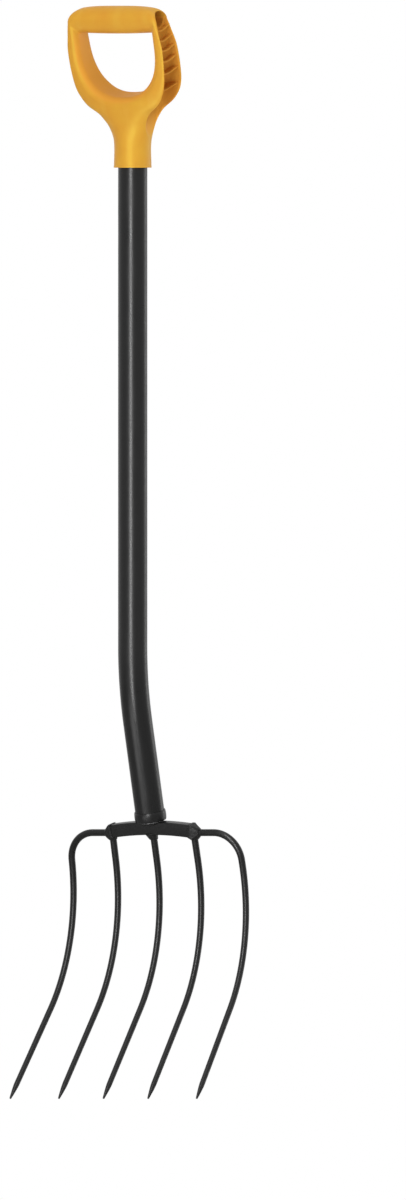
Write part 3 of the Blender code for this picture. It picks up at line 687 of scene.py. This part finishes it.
def lipPoints(height, start, edge, way):   # the channel's wall and rounded lip, going outwards
    halfWidth, halfDepth, setback, squareness = between(handleStations, height)
    across = min(abs(edge - setback) / halfDepth, 0.999)
    surface = halfWidth * (1 - across ** squareness) ** (1 / squareness)
    radius, aside = handle["lipRadius"], way * handle["lipAside"]
    rounded = [(start[0] + (surface - radius - start[0]) * k / 4, edge) for k in range(1, 4)]
    rounded += [(surface - radius + radius * sin(angle), edge + way * radius * (1 - cos(angle)))
                for angle in arc(handle["lipTurn"], 5)]
    rounded.append((surface + handle["lipOut"], edge + aside))
    far = halfWidth + handle["cutReach"]
    share = ease((height - handle["lipStart"]) / handle["lipFade"])
    points = []
    for k, (x, b) in enumerate(rounded):
        part = (k + 1) / (len(rounded) + 1)
        plainX = start[0] + (far - start[0]) * part
        plainB = start[1] + (edge - start[1]) * part
        points.append((plainX + (x - plainX) * share, plainB + (b - plainB) * share))
    return points + [(far, edge + aside * share)]


def channelCutter(side, steps=120, floorSteps=32, halfDepth=0.024, halfSteps=40):
    rings = []
    bottom, top = tailFloor[0][0], gripHeight + handle["channelTop"]
    roundest, squarest = handle["floorSquareness"]
    most = handle["floorReach"]
    depths = [halfDepth * (k / halfSteps - 1) for k in range(2 * halfSteps + 1)]
    walls = [openingWall(b) for b in depths]
    for step in range(steps + 1):
        height = bottom + (top - bottom) * (step / steps) ** 1.4   # closer in the tail
        front, back = between(channelEdges, height)
        surface = between(handleStations, height)[0] + handle["channelRise"]
        square = clamp((height - handle["squareFrom"]) / handle["squareSpan"])
        squareness = roundest + (squarest - roundest) * square
        floors = [channelFloor(height, wall) for wall in walls]
        inside = []
        for k in range(floorSteps + 1):
            share = -most + 2 * most * k / floorSteps
            b = (front + back) / 2 + share * (back - front) / 2
            deep = surface - float(np.interp(b, depths, floors))
            inside.append((surface - deep * (1 - abs(share) ** squareness) ** (1 / squareness), b))
        ring = (lipPoints(height, inside[0], front, -1)[::-1] + inside
                + lipPoints(height, inside[-1], back, 1))
        rings.append([handlePlace(height, side * x, b) for x, b in ring])
    return skinRings("channel", rings)


def coreCutter(side):   # the hole from the grip's end
    width, _, setback, _ = between(handleStations, gripHeight)
    rings = []
    for x in handle["coreStations"]:
        middle = setback * (x / width) ** 2
        rings.append([handlePlace(gripHeight + handle["coreRise"] + b, side * x, middle + a)
                      for a, b in superellipse(*handle["core"], handle["coreSquareness"], 64)])
    return skinRings("gripCore", rings)


def ribPlate(steps=40):   # unit rib: floor to surface along X, front to back along Y, one thick
    inner, rounding = handle["ribRoot"], handle["ribRounding"]
    rows = []
    for k in range(steps + 1):
        share = -1.0 + 2 * k / steps
        outer = 1.0 - handle["ribEndDepth"] - handle["ribScoop"] * (1 - share ** 2)
        flat = [inner + (outer - inner) * part for part in (0, 0.4, 0.8)]
        angles = [pi * (m / 8 - 0.5) for m in range(9)]
        rows.append([(x, share, -0.5) for x in flat]
                    + [(outer - rounding * (1 - cos(angle)), share, 0.5 * sin(angle))
                       for angle in angles]
                    + [(x, share, 0.5) for x in reversed(flat)])
    return linkPiece("ribPlate", skinRings("ribPlate", rows))


def ribTree():   # puts a rib at each point, sized by the point and sagging at mid depth
    tree, given = geometryTree("ribLadder", ("Thickness", "Sag", "Lean"), objects=("Rib",))
    plate = addNode(tree, "GeometryNodeObjectInfo", {"Object": given["Rib"]})
    arch = ("SUBTRACT", 1.0, ("POWER", pointParts(tree)["Y"], 2.0))
    drop = ("MULTIPLY", arch, ("DIVIDE", given["Sag"], given["Thickness"]))
    bent = shifted(tree, plate.outputs["Geometry"],
                   combine(tree, z=mathNode(tree, "MULTIPLY", drop, -1.0)))
    size = combine(tree, keptNumber(tree, "ribReach"), keptNumber(tree, "ribHalfDepth"),
                   given["Thickness"])
    placed = setOnPoints(tree, given["Geometry"], bent, combine(tree, given["Lean"]), size)
    return finishTree(tree, placed, given)


def armRibs(tree, plate, side):
    points, reaches, depths = [], [], []
    for height in handle["ribHeights"]:
        front, back = between(channelEdges, height)
        surface = between(handleStations, height)[0]
        floor = channelFloor(height, openingWall((front + back) / 2))
        points.append(handlePlace(height, side * floor, (front + back) / 2))
        reaches.append(side * (surface - floor - handle["ribShort"]))
        depths.append((back - front) / 2 + handle["ribOverlap"])
    mesh = pathMesh("ribPoints", points, ribReach=reaches, ribHalfDepth=depths)
    return runTree("armRibs", tree, mesh, plastic, {
        "Rib": plate, "Thickness": handle["ribThickness"], "Sag": handle["ribSag"], "Lean": lean})


def handlePoints(mesh):   # distance across, height along and depth of every vertex
    points = np.empty(len(mesh.vertices) * 3)
    mesh.vertices.foreach_get("co", points)
    x, y, z = points.reshape(-1, 3).T
    z = z - handle["cornerZ"]
    return (np.abs(x), z * cos(lean) - y * sin(lean),
            y * cos(lean) + z * sin(lean))


def wallDistance(height, depth, lowest=0.02, deepest=0.028):   # from a table of the side wall
    heights = np.linspace(lowest, gripHeight, 160)
    depths = np.linspace(-deepest, deepest, 113)
    table = np.array([np.interp(heights, [z for _, z in wall], [x for x, _ in wall])
                      for wall in map(openingWall, depths)])
    row, column = (np.clip((value - levels[0]) / (levels[1] - levels[0]), 0, len(levels) - 1.001)
                   for value, levels in ((depth, depths), (height, heights)))
    i, j = row.astype(int), column.astype(int)
    u, v = row - i, column - j
    return ((1 - u) * ((1 - v) * table[i, j] + v * table[i, j + 1])
            + u * ((1 - v) * table[i + 1, j] + v * table[i + 1, j + 1]))


# where the inner faces' painted shade begins and is full; levels and depths are shares of the
# section
innerShadeMarks = {
    "channelDistance": (0.0016, 0.0024), "channelLevel": (0.985, 0.965),
    "channelDepth": (0.965, 0.945), "channelTop": (gripHeight + 0.002, gripHeight - 0.001),
    "channelTail": (-0.018, 0.018), "tailInset": 0.003, "openingLevel": (0.97, 0.87),
    "openingTop": (gripHeight - 0.012, gripHeight - 0.018), "neckEnd": (-0.020, -0.017),
}


def fade(values, label):   # 0 where the mark starts, 1 from its end on
    start, end = innerShadeMarks[label]
    return np.clip((values - start) / (end - start), 0.0, 1.0)


def markInnerShade(mesh):   # painted shade mark, which also sets roughness and shine: 1 in the channels, less in the hand opening, 0 on the outside
    x, height, depth = handlePoints(mesh)
    levels = np.linspace(handleStations[0][0], handleStations[-1][0], 300)
    rows = np.array([(level, *between(handleStations, level)) for level in levels])
    halfWidth, halfDepth, setback, squareness = (np.interp(height, rows[:, 0], rows[:, k])
                                                 for k in range(1, 5))
    deep = np.abs(depth - setback * (x / halfWidth) ** 2) / halfDepth
    level = ((x / halfWidth) ** squareness + deep ** squareness) ** (1 / squareness)
    floor = np.interp(height, *np.array(tailFloor).T) - innerShadeMarks["tailInset"]
    wall = np.maximum(wallDistance(height, depth), floor)
    # masks of painted shade: the channels' fades out at their rims, top and tail; the hand opening
    # gets a lower level
    channel = (fade(x - wall, "channelDistance") * fade(level, "channelLevel")
               * fade(deep, "channelDepth") * fade(height, "channelTop")
               * fade(height, "channelTail"))
    opening = plasticLook["openingShadeMark"] * fade(level, "openingLevel") * fade(height, "openingTop")
    inner = np.maximum(channel, opening) * fade(height, "neckEnd")
    layer = mesh.attributes.new("innerFace", "FLOAT", "POINT")
    layer.data.foreach_set("value", inner.astype(np.float32))


def makeHandle():
    piece = linkPiece("mouldedHandle", handleBody())
    mouthZ = handle["cornerZ"] + handle["collarBottom"]
    screwZ = handle["screwZ"]
    cutters = [openingCutter(), cylinderMesh("bore", handle["boreRadius"], (0, 0, mouthZ - 0.01),
                                             (0, 0, handle["boreTopZ"]), 96)]
    for hole, sides in (("screwSeat", 48), ("screwWay", 32)):
        near, far, radius = handle[hole]
        cutters.append(cylinderMesh(hole, radius, (0, near, screwZ), (0, far, screwZ), sides))
    for side in (-1, 1):
        cutters += [channelCutter(side), coreCutter(side)]
    takeOut(piece, cutters)
    plate, tree = ribPlate(), ribTree()
    ribs = joinMeshes("ribs", [armRibs(tree, plate, side) for side in (-1, 1)], outward=True)
    bpy.data.objects.remove(plate)
    ladders = takeOut(linkPiece("ribLadders", ribs), [openingCutter()])
    takeOut(piece, [ladders.data], "UNION")
    bpy.data.objects.remove(ladders)
    tidyMesh(piece.data)
    markInnerShade(piece.data)
    return finishPiece(piece, plastic, "d_handle", 26.0)


makeHandle()
print("handle done")


# shaft: upright tube with one bend, then the head's own slope
shaft = {"radius": 0.0173, "wall": 0.0015, "uprightZ": (1.149, 1.0, 0.8, 0.6),
         "bendRadius": 0.355, "endAboveHead": 0.0096, "sides": 96, "bendSteps": 24}


def shaftPoints():
    radius, length = shaft["bendRadius"], headDistance - shaft["endAboveHead"]
    tangent = radius * tan(lean / 2)
    points = [(0.0, 0.0, z) for z in shaft["uprightZ"]]
    points += [(0.0, radius * (1 - cos(angle)), bendZ + tangent - radius * sin(angle))
               for angle in arc(lean, shaft["bendSteps"])]
    return points + [(0.0, along * sin(lean), bendZ - along * cos(lean))
                     for along in (length * 0.5, length)]


def tubeTree():
    tree, given = geometryTree("tube", ("Radius",), ("Sides",))
    ring = roundProfile(tree, given["Sides"], given["Radius"])
    return finishTree(tree, sweep(tree, pathCurve(tree, given), ring), given)


def makeShaft():
    mesh = runTree("shaftTube", tubeTree(), pathMesh("shaftPath", shaftPoints()), coating,
                   {"Radius": shaft["radius"], "Sides": shaft["sides"]})
    piece = linkPiece("shaftTube", joinMeshes("shaftTube", [mesh], outward=True))
    wall = piece.modifiers.new("wall", "SOLIDIFY")
    wall.thickness = shaft["wall"]
    wall.offset = -1.0
    settle(piece)
    return finishPiece(piece, coating, "shaft", 40.0)


makeShaft()
print("shaft done")


# ferrule: rolled collar over the tube's lower end
ferrule = {"bore": 0.0176, "bottom": 0.0089, "length": 0.0116, "rim": 0.0004, "swell": 0.0009,
           "roundSteps": 20, "sides": 96}


def makeFerrule():
    bore, bottom, length = ferrule["bore"], ferrule["bottom"], ferrule["length"]
    profile = [(bore, bottom), (bore, bottom + length * 0.5), (bore, bottom + length)]
    for angle in arc(pi, ferrule["roundSteps"]):
        radius = bore + ferrule["rim"] + ferrule["swell"] * sin(angle) ** 0.8
        profile.append((radius, bottom + length * (1 + cos(angle)) / 2))
    mesh = spinProfile("ferrule", profile, ferrule["sides"])
    mesh.transform(headPlace)
    piece = linkPiece("ferruleRing", mesh)
    return finishPiece(piece, coating, "shaft_ferrule", 50.0)


makeFerrule()


# crossbar: flat bar bent to a shallow arch, with rolled edges
crossbar = {"halfLength": 0.0550, "height": 0.0156, "depth": 0.0115, "archRadius": 0.415,
            "edge": 0.0013, "edgeSteps": 5, "steps": 60}


def barTree():
    tree, given = geometryTree("archedBar", ("Half Length", "Height", "Depth", "Arch Radius",
                                             "Edge"), ("Edge Steps", "Steps"))
    start = combine(tree, mathNode(tree, "MULTIPLY", given["Half Length"], -1.0))
    line = nodeOut(tree, "GeometryNodeCurvePrimitiveLine", {
        "Start": start, "End": combine(tree, given["Half Length"])})
    fine = nodeOut(tree, "GeometryNodeResampleCurve", {"Curve": line, "Count": given["Steps"]})
    across = ("POWER", ("ABSOLUTE", pointParts(tree)["X"]), 2.0)
    level = ("SQRT", ("SUBTRACT", ("POWER", given["Arch Radius"], 2.0), across))
    rise = mathNode(tree, "SUBTRACT", level, given["Arch Radius"])
    arched = shifted(tree, fine, combine(tree, z=rise))
    upright = nodeOut(tree, "GeometryNodeSetCurveNormal", {"Curve": arched}, mode="Z_UP")
    section = nodeOut(tree, "GeometryNodeCurvePrimitiveQuadrilateral",
                      {"Width": given["Depth"], "Height": given["Height"]})
    rounded = nodeOut(tree, "GeometryNodeFilletCurve", {
        "Curve": section, "Radius": given["Edge"], "Count": given["Edge Steps"]}, mode="POLY")
    return finishTree(tree, sweep(tree, upright, rounded, {"Fill Caps": True}), given)


def barSag(x):
    return crossbar["archRadius"] - sqrt(crossbar["archRadius"] ** 2 - x ** 2)


def barMesh(grow=0.0):
    return runTree("bar", barTree(), pathMesh("barSeed", [(0, 0, 0), (0, 0, 0.01)]),
                   forgedCoating, {
        "Half Length": crossbar["halfLength"] + grow, "Height": crossbar["height"] + 2 * grow,
        "Depth": crossbar["depth"] + 2 * grow, "Arch Radius": crossbar["archRadius"],
        "Edge": crossbar["edge"], "Edge Steps": crossbar["edgeSteps"],
        "Steps": crossbar["steps"]})


def makeCrossbar():
    mesh = joinMeshes("bar", [barMesh()], outward=True)
    mesh.transform(headPlace)
    piece = linkPiece("archedCrossbar", mesh)
    return finishPiece(piece, forgedCoating, "crossbar", 40.0)


makeCrossbar()
print("ferrule and crossbar done")


# tines: down is the distance below the crossbar's centre, along the bent tine
tine = {
    "setback": 0.0012, "rootRadius": 0.00415, "taper": 0.0027,
    "curveStart": 0.0393, "curveRadius": 0.205, "curveAngle": radians(52.0),
    "pointLength": 0.022, "tipRadius": 0.0011, "pointPower": 1.4, "sides": 32,
    "innerX": 0.0564, "innerSplay": 0.0157,
    "outerDown": 0.0064, "outerStartX": 0.070, "outerCornerX": 0.0840,
    "outerCornerRadius": 0.034, "outerCornerSteps": 28, "outerSplay": 0.0363, "gap": 0.0003,
    "stations": (6, 60, 14), "shortestStep": 0.001,      # above the curve, along it, in the point
}


def tineSide(down):
    start, radius, most = tine["curveStart"], tine["curveRadius"], tine["curveAngle"]
    angle = clamp((down - start) / radius, 0.0, most)
    rest = max(down - start - radius * most, 0.0)
    return (tine["setback"] - radius * (1 - cos(angle)) - rest * sin(angle),
            -min(down, start) - radius * sin(angle) - rest * cos(angle))


def tineLength():
    curveEnd = tine["curveStart"] + tine["curveRadius"] * tine["curveAngle"]
    y, z = tineSide(curveEnd)
    height = headCentre.z + y * sin(lean) + z * cos(lean)
    slope = tine["curveAngle"] - lean
    return curveEnd + (height - tine["tipRadius"] * sin(slope)) / cos(slope)


def tineTree():   # radius by rule: slow taper, then a point
    tree, given = geometryTree("tine", ("Root Radius", "Taper", "Length", "Point Length",
                                        "Tip Radius", "Point Power"), ("Sides",))
    down = keptNumber(tree, "down")
    body = mathNode(tree, "SUBTRACT", given["Root Radius"], ("MULTIPLY", given["Taper"], down))
    start = ("SUBTRACT", given["Length"], given["Point Length"])
    past = ("DIVIDE", ("SUBTRACT", down, start), given["Point Length"])
    share = ("POWER", ("MAXIMUM", past, 0.0), given["Point Power"])
    loss = ("MULTIPLY", share, ("SUBTRACT", body, given["Tip Radius"]))
    skin = sweep(tree, pathCurve(tree, given), roundProfile(tree, given["Sides"], 1.0),
                 {"Scale": mathNode(tree, "SUBTRACT", body, loss), "Fill Caps": True})
    return finishTree(tree, skin, given)


def lowerStations(first, length):
    knots = (first, tine["curveStart"], length - tine["pointLength"], length)
    stations = [first]
    for start, end, count in zip(knots, knots[1:], tine["stations"]):
        stations += np.linspace(start, end, count)[1:].tolist()
    return stations


def tineRoutes():   # each node's piece, its sideways and down distances, and its side
    length = tineLength()
    halfHeight = crossbar["height"] / 2 + tine["gap"]
    corner, splay, level = tine["outerCornerRadius"], tine["outerSplay"], tine["outerDown"]

    def straight(x, splay):
        first = halfHeight + barSag(x)
        return [(x + splay * down, down) for down in lowerStations(first, length)]

    outer = [(crossbar["halfLength"] + tine["gap"], level), (tine["outerStartX"], level)]
    outer += [(tine["outerCornerX"] + corner * sin(angle),
               level + corner * (1 - cos(angle)))
              for angle in arc(pi / 2 - atan(splay), tine["outerCornerSteps"])]
    cornerX, cornerDown = outer[-1]
    nearest = cornerDown + tine["shortestStep"]
    outer += [(cornerX + splay * (down - cornerDown), down)
              for down in lowerStations(cornerDown, length) if down > nearest]
    inner = straight(tine["innerX"], tine["innerSplay"])
    return {
        "left_outer_tine": ("leftOuterTine", outer, -1),
        "left_inner_tine": ("leftInnerTine", inner, -1),
        "centre_tine": ("middleTine", straight(0.0, 0.0), 1),
        "right_inner_tine": ("rightInnerTine", inner, 1),
        "right_outer_tine": ("rightOuterTine", outer, 1),
    }


def tineMesh(node, grow=0.0):
    _, route, mirror = routes[node]
    mesh = pathMesh("tinePath", [(mirror * x, *tineSide(down)) for x, down in route],
                    down=[down for _, down in route])
    mesh = runTree("tine", tineNodes, mesh, forgedCoating, {
        "Root Radius": tine["rootRadius"] + grow, "Taper": tine["taper"],
        "Length": tineLength(), "Point Length": tine["pointLength"],
        "Tip Radius": tine["tipRadius"] + grow, "Point Power": tine["pointPower"],
        "Sides": tine["sides"]})
    return joinMeshes("tine", [mesh], outward=True)


routes = tineRoutes()
tineNodes = tineTree()
for node, (pieceName, _, _) in routes.items():
    mesh = tineMesh(node)
    mesh.transform(headPlace)
    finishPiece(linkPiece(pieceName, mesh), forgedCoating, node, 50.0)
print("tines done")


# weld lumps at the tines' roots and beads at the neck
weld = {
    "noseX": 0.0652, "footDown": 0.0146, "bead": 0.0008, "proud": 0.0010,
    "leftReach": 0.0092, "rightReach": 0.0058, "underDepth": 0.0070, "underSink": 0.0010,
    "underSquareness": 2.4, "dropSizes": (0.85, 1.18), "dropHeight": 0.75,
    "endInside": 0.0006, "endOutside": 0.0016, "footShift": 0.0003,
    "ripplePitch": 0.0008, "rippleRadius": 0.0006, "voxel": 0.00030, "softening": 7,
    "roughness": 0.00050, "lumpSize": 0.0045, "lumpMiddle": 0.55,
    "barGap": 0.0002, "tineGap": 0.0001,
    "neckRadius": 0.0016, "neckHalfLength": 0.0095, "neckGap": 0.0003, "neckEnd": 0.0012,
    "neckPitch": 0.0009, "neckDrop": 0.95, "neckVoxel": 0.00022, "neckSoftening": 5,
}


def rippleTree():   # overlapping drops along a path, as a weld pool leaves them
    tree, given = geometryTree("weldRipples", ("Pitch", "Radius"), ("Seed",))
    steps = nodeOut(tree, "GeometryNodeResampleCurve", {
        "Curve": pathCurve(tree, given), "Length": given["Pitch"]}, mode="LENGTH")
    turn = nodeOut(tree, "FunctionNodeAlignRotationToVector",
                   {"Vector": nodeOut(tree, "GeometryNodeInputTangent")}, axis="Z")
    low, high = weld["dropSizes"]
    size = addNode(tree, "FunctionNodeRandomValue", {
        "Min": low, "Max": high, "Seed": given["Seed"]}, data_type="FLOAT").outputs[1]
    drop = nodeOut(tree, "GeometryNodeMeshIcoSphere", {"Radius": given["Radius"],
                                                       "Subdivisions": 3})
    flat = combine(tree, size, size, mathNode(tree, "MULTIPLY", size, weld["dropHeight"]))
    return finishTree(tree, setOnPoints(tree, steps, drop, turn, flat), given)


def ringPoints(centre, axis, radius, count=24):
    turn = Vector(axis).to_track_quat("Z", "Y")
    return [Vector(centre) + turn @ Vector((radius * cos(tau * i / count),
                                            radius * sin(tau * i / count), 0.0))
            for i in range(count)]


def barSection(x, grow):
    halfDepth = crossbar["depth"] / 2 + grow
    halfHeight = crossbar["height"] / 2 + grow
    return [Vector((x, side * halfDepth, rise * halfHeight - barSag(x)))
            for side in (-1, 1) for rise in (-1, 1)]


def underBar(x):   # the lump's outline on the bar's underside
    centre = x + (weld["rightReach"] - weld["leftReach"]) / 2
    reach = (weld["rightReach"] + weld["leftReach"]) / 2
    points = []
    for a, b in superellipse(reach, weld["underDepth"], weld["underSquareness"], 24):
        across = clamp(centre + a, -crossbar["halfLength"], crossbar["halfLength"])
        points.append(Vector((across, b, -crossbar["height"] / 2 + weld["underSink"]
                              - barSag(across))))
    return points


def hullMesh(points):
    bm = bmesh.new()
    for point in points:
        bm.verts.new(point)
    hull = bmesh.ops.convex_hull(bm, input=bm.verts)
    inside = [item for item in hull["geom_interior"] if isinstance(item, bmesh.types.BMVert)]
    bmesh.ops.delete(bm, geom=inside, context="VERTS")
    return meshFrom(bm, "hull", outward=True)


def lumpTexture():
    texture = bpy.data.textures.new("weldLumps", "CLOUDS")
    texture.noise_scale = weld["lumpSize"]
    texture.noise_depth = 2
    return texture


def rippleMesh(name, points, pitch, radius, seed):
    return runTree(name, ripples, pathMesh("ripplePath", points), weldCoating,
                   {"Pitch": pitch, "Radius": radius, "Seed": seed})


def finishWeld(piece, node, cutTines=()):
    takeOut(piece, [barMesh(weld["barGap"])] + [tineMesh(name, weld["tineGap"])
                                                for name in cutTines])
    piece.data.transform(headPlace)
    return finishPiece(piece, weldCoating, node, 60.0)


def makeLump(name, node, hullPoints, paths, cutTines, seed):
    meshes = [hullMesh(hullPoints)]
    for index, path in enumerate(paths):
        meshes.append(rippleMesh("ripples", path, weld["ripplePitch"], weld["rippleRadius"],
                                 seed + index))
    piece = linkPiece(name, joinMeshes(name, meshes))
    melt(piece, weld["voxel"], weld["softening"])
    rough = piece.modifiers.new("spatter", "DISPLACE")
    rough.texture = lumps
    rough.strength = weld["roughness"]
    rough.mid_level = weld["lumpMiddle"]
    settle(piece)
    return finishWeld(piece, node, cutTines)


def makeWelds():
    bead = tine["rootRadius"] + weld["bead"]
    back, end = tine["setback"], crossbar["halfLength"]
    down = (0.0, 0.0, -1.0)
    foot = ringPoints((0.0, back, -weld["footDown"]), down, bead)
    lip = underBar(0.0)
    makeLump("middleRootWeld", "centre_tine_weld", foot + lip, [lip + lip[:1]],
             ["centre_tine"], 3)
    for label, side in (("left", -1), ("right", 1)):
        inner = barSection(side * (end - weld["endInside"]), weld["proud"] / 2)
        outer = barSection(side * (end + weld["endOutside"]), weld["proud"])
        lip = underBar(side * tine["innerX"])
        nose = ringPoints((side * weld["noseX"], back, -tine["outerDown"]), (side, 0, 0), bead)
        foot = ringPoints((side * (tine["innerX"] + weld["footShift"]), back,
                           -weld["footDown"]), down, bead)
        makeLump(f"{label}EndWeld", f"{label}_end_weld", inner + outer + lip + nose + foot,
                 [lip + lip[:1], [inner[0], inner[1], inner[3], inner[2], inner[0]]],
                 [f"{label}_inner_tine", f"{label}_outer_tine"], 11 + side)


def makeNeckWelds(steps=8):   # steps on each side of the middle
    reach = crossbar["depth"] / 2 + weld["neckGap"] + weld["neckRadius"]
    height = crossbar["height"] / 2 - weld["neckRadius"]
    half = weld["neckHalfLength"] - weld["neckEnd"]
    for name, node, side in (("frontNeckBead", "front_neck_weld", -1),
                             ("backNeckBead", "back_neck_weld", 1)):
        path = [(-half + half * k / steps, side * reach, height) for k in range(2 * steps + 1)]
        piece = linkPiece(name, rippleMesh(name, path, weld["neckPitch"],
                                           weld["neckRadius"] * weld["neckDrop"], 31 + side))
        melt(piece, weld["neckVoxel"], weld["neckSoftening"])
        finishWeld(piece, node)


ripples = rippleTree()
lumps = lumpTexture()
makeWelds()
makeNeckWelds()
print("welds done")


# screw at the back of the collar, with a cross recess
screw = {"headRadius": 0.0042, "headHeight": 0.0022, "rim": 0.0002, "shankRadius": 0.0020,
         "length": 0.0105, "tipShares": (0.55, 0.8), "tipHeight": 0.0014, "neckShare": 0.9,
         "threads": 7, "threadPitch": 0.0011, "threadStart": 0.0018, "threadHalf": 0.0004,
         "rootShare": 0.82, "crossWidth": 0.0011, "crossReach": 0.0024, "crossDepth": 0.0014,
         "crossTaper": 0.6, "crossTurn": 0.5, "gap": 0.0003}   # shares are of the shank's radius


def crossArm(sizes):   # one bar of the recess, narrower at its bottom
    bm = bmesh.new()
    bmesh.ops.create_cube(bm, size=1.0)
    for vert in bm.verts:
        taper = screw["crossTaper"] if vert.co.z < 0 else 1.0
        vert.co = Vector((vert.co.x * sizes[0] * taper, vert.co.y * sizes[1] * taper,
                          vert.co.z * screw["crossDepth"] * 2 + screw["headHeight"]))
    return meshFrom(bm, "cross")


def makeScrew():
    shank, length, rim = screw["shankRadius"], screw["length"], screw["rim"]
    root, neck, half = shank * screw["rootShare"], shank * screw["neckShare"], screw["threadHalf"]
    point, end = (shank * share for share in screw["tipShares"])
    profile = [(0.0, -length), (point, -length), (end, -length + screw["tipHeight"])]
    for thread in range(screw["threads"]):   # ridges along the shank
        z = -length + screw["threadStart"] + thread * screw["threadPitch"]
        profile += [(root, z), (shank, z + half), (root, z + 2 * half)]
    profile += [(neck, -rim), (neck, 0.0), (screw["headRadius"] - rim, 0.0),
                (screw["headRadius"], rim)]
    profile += [(screw["headRadius"] * cos(angle),
                 rim + (screw["headHeight"] - rim) * sin(angle))
                for angle in arc(pi / 2, 16)[1:]]
    piece = linkPiece("panScrew", spinProfile("panScrew", profile, 48))
    arm = (screw["crossReach"] * 2, screw["crossWidth"])
    takeOut(piece, [crossArm(arm), crossArm(arm[::-1])])
    place = Matrix.Translation((0.0, handle["screwSeat"][0] + screw["gap"], handle["screwZ"]))
    piece.data.transform(place @ Matrix.Rotation(radians(-90.0), 4, "X")
                         @ Matrix.Rotation(screw["crossTurn"], 4, "Z"))
    return finishPiece(piece, zincPlate, "handle_screw", 35.0)


makeScrew()
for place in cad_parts["head_plug"].material_slots:   # the plug keeps its CAD mesh
    place.material = turnedSteel
print("screw and plug done")


# room, lights and camera
room = {"floorColour": (0.86, 0.86, 0.85), "floorShade": 0.98, "floorRoughness": 0.8,
        "floorHalf": 4.0, "floorZ": -0.0006, "ambient": 0.32}
camera = {"azimuth": 32.0, "aim": (0.0703, 0.0439, 0.5883), "height": 1.4148, "distance": 3.0}


def aroundFork(azimuth, height, distance):   # a place at an angle round the shaft
    turn = radians(azimuth)
    return (sin(turn) * distance, -cos(turn) * distance, height)


lightAim = (0, 0, 0.65)
# place, aim, size, power, and whether it lights surfaces and shows in reflections
lamps = {
    "keyStrip": (aroundFork(13.0, 0.95, 1.6), (0, 0, 0.9), (0.30, 2.0), 13.0, True, True),
    "streakCard": (aroundFork(18.0, 0.72, 0.9), (0, 0, 0.72), (0.10, 1.2), 12.0, False, True),
    "floorCard": (aroundFork(-9.0, 0.02, 0.93), aroundFork(-9.0, 1.0, 0.93), (0.46, 0.46), 4.2,
                  False, True),
    "fillRight": (aroundFork(75.0, 1.2, 2.6), lightAim, (1.4, 1.6), 18.0, True, False),
    "fillLeft": (aroundFork(-45.0, 1.3, 2.6), lightAim, (1.4, 1.6), 8.0, True, False),
    "rimRight": (aroundFork(150.0, 0.9, 2.2), lightAim, (0.50, 2.0), 9.0, True, True),
    "top": ((0.2, -0.3, 3.0), (0, 0, 0.6), (1.5, 1.5), 13.0, True, True),
}


def makeFloor():
    bm = bmesh.new()
    bmesh.ops.create_grid(bm, x_segments=2, y_segments=2, size=room["floorHalf"])
    bmesh.ops.translate(bm, verts=bm.verts, vec=(0.0, 0.0, room["floorZ"]))
    floor = linkPiece("floor", meshFrom(bm, "floor"))
    material, tree, shader = newMaterial("paleFloor")
    tint = noise(tree, objectPoints(tree), 3.0, 3.0)
    colour = mixColours(tree, ramp(tree, tint, 0.3, 0.7), room["floorColour"],
                        [c * room["floorShade"] for c in room["floorColour"]])
    setInputs(tree, shader, {"Base Color": colour, "Roughness": room["floorRoughness"]})
    floor.data.materials.append(material)


def makeWorld():   # white where it is seen or mirrored, dimmer as a light
    world = bpy.data.worlds.new("studio")
    scene.world = world
    world.use_nodes = True
    tree = world.node_tree
    path = addNode(tree, "ShaderNodeLightPath")
    seen = mathNode(tree, "MAXIMUM", path.outputs["Is Camera Ray"],
                    ("MAXIMUM", path.outputs["Is Glossy Ray"], path.outputs["Is Transmission Ray"]))
    setInputs(tree, tree.nodes["Background"], {
        "Color": (1.0, 1.0, 1.0, 1.0),
        "Strength": ramp(tree, seen, 0.0, 1.0, room["ambient"], 1.0)})


def addLamp(name, place, aim, size, power, lit, mirrored):
    data = bpy.data.lights.new(name, "AREA")
    data.shape = "RECTANGLE"
    data.size, data.size_y = size
    data.energy = power
    lamp = linkPiece(name, data)
    lamp.location = place
    lamp.rotation_euler = (Vector(aim) - Vector(place)).to_track_quat("-Z", "Y").to_euler()
    lamp.visible_camera = False
    lamp.visible_diffuse = lit
    lamp.visible_glossy = mirrored


def makeCamera():
    data = bpy.data.cameras.new("camera")
    data.type = "ORTHO"
    data.ortho_scale = camera["height"]
    eye = linkPiece("camera", data)
    eye.location = Vector(camera["aim"]) + Vector(aroundFork(camera["azimuth"], 0.0,
                                                             camera["distance"]))
    eye.rotation_euler = (radians(90.0), 0.0, radians(camera["azimuth"]))
    scene.camera = eye


makeFloor()
makeWorld()
for name, settings in lamps.items():
    addLamp(name, *settings)
makeCamera()
scene.view_settings.view_transform = "Standard"
print("room, lights and camera done")
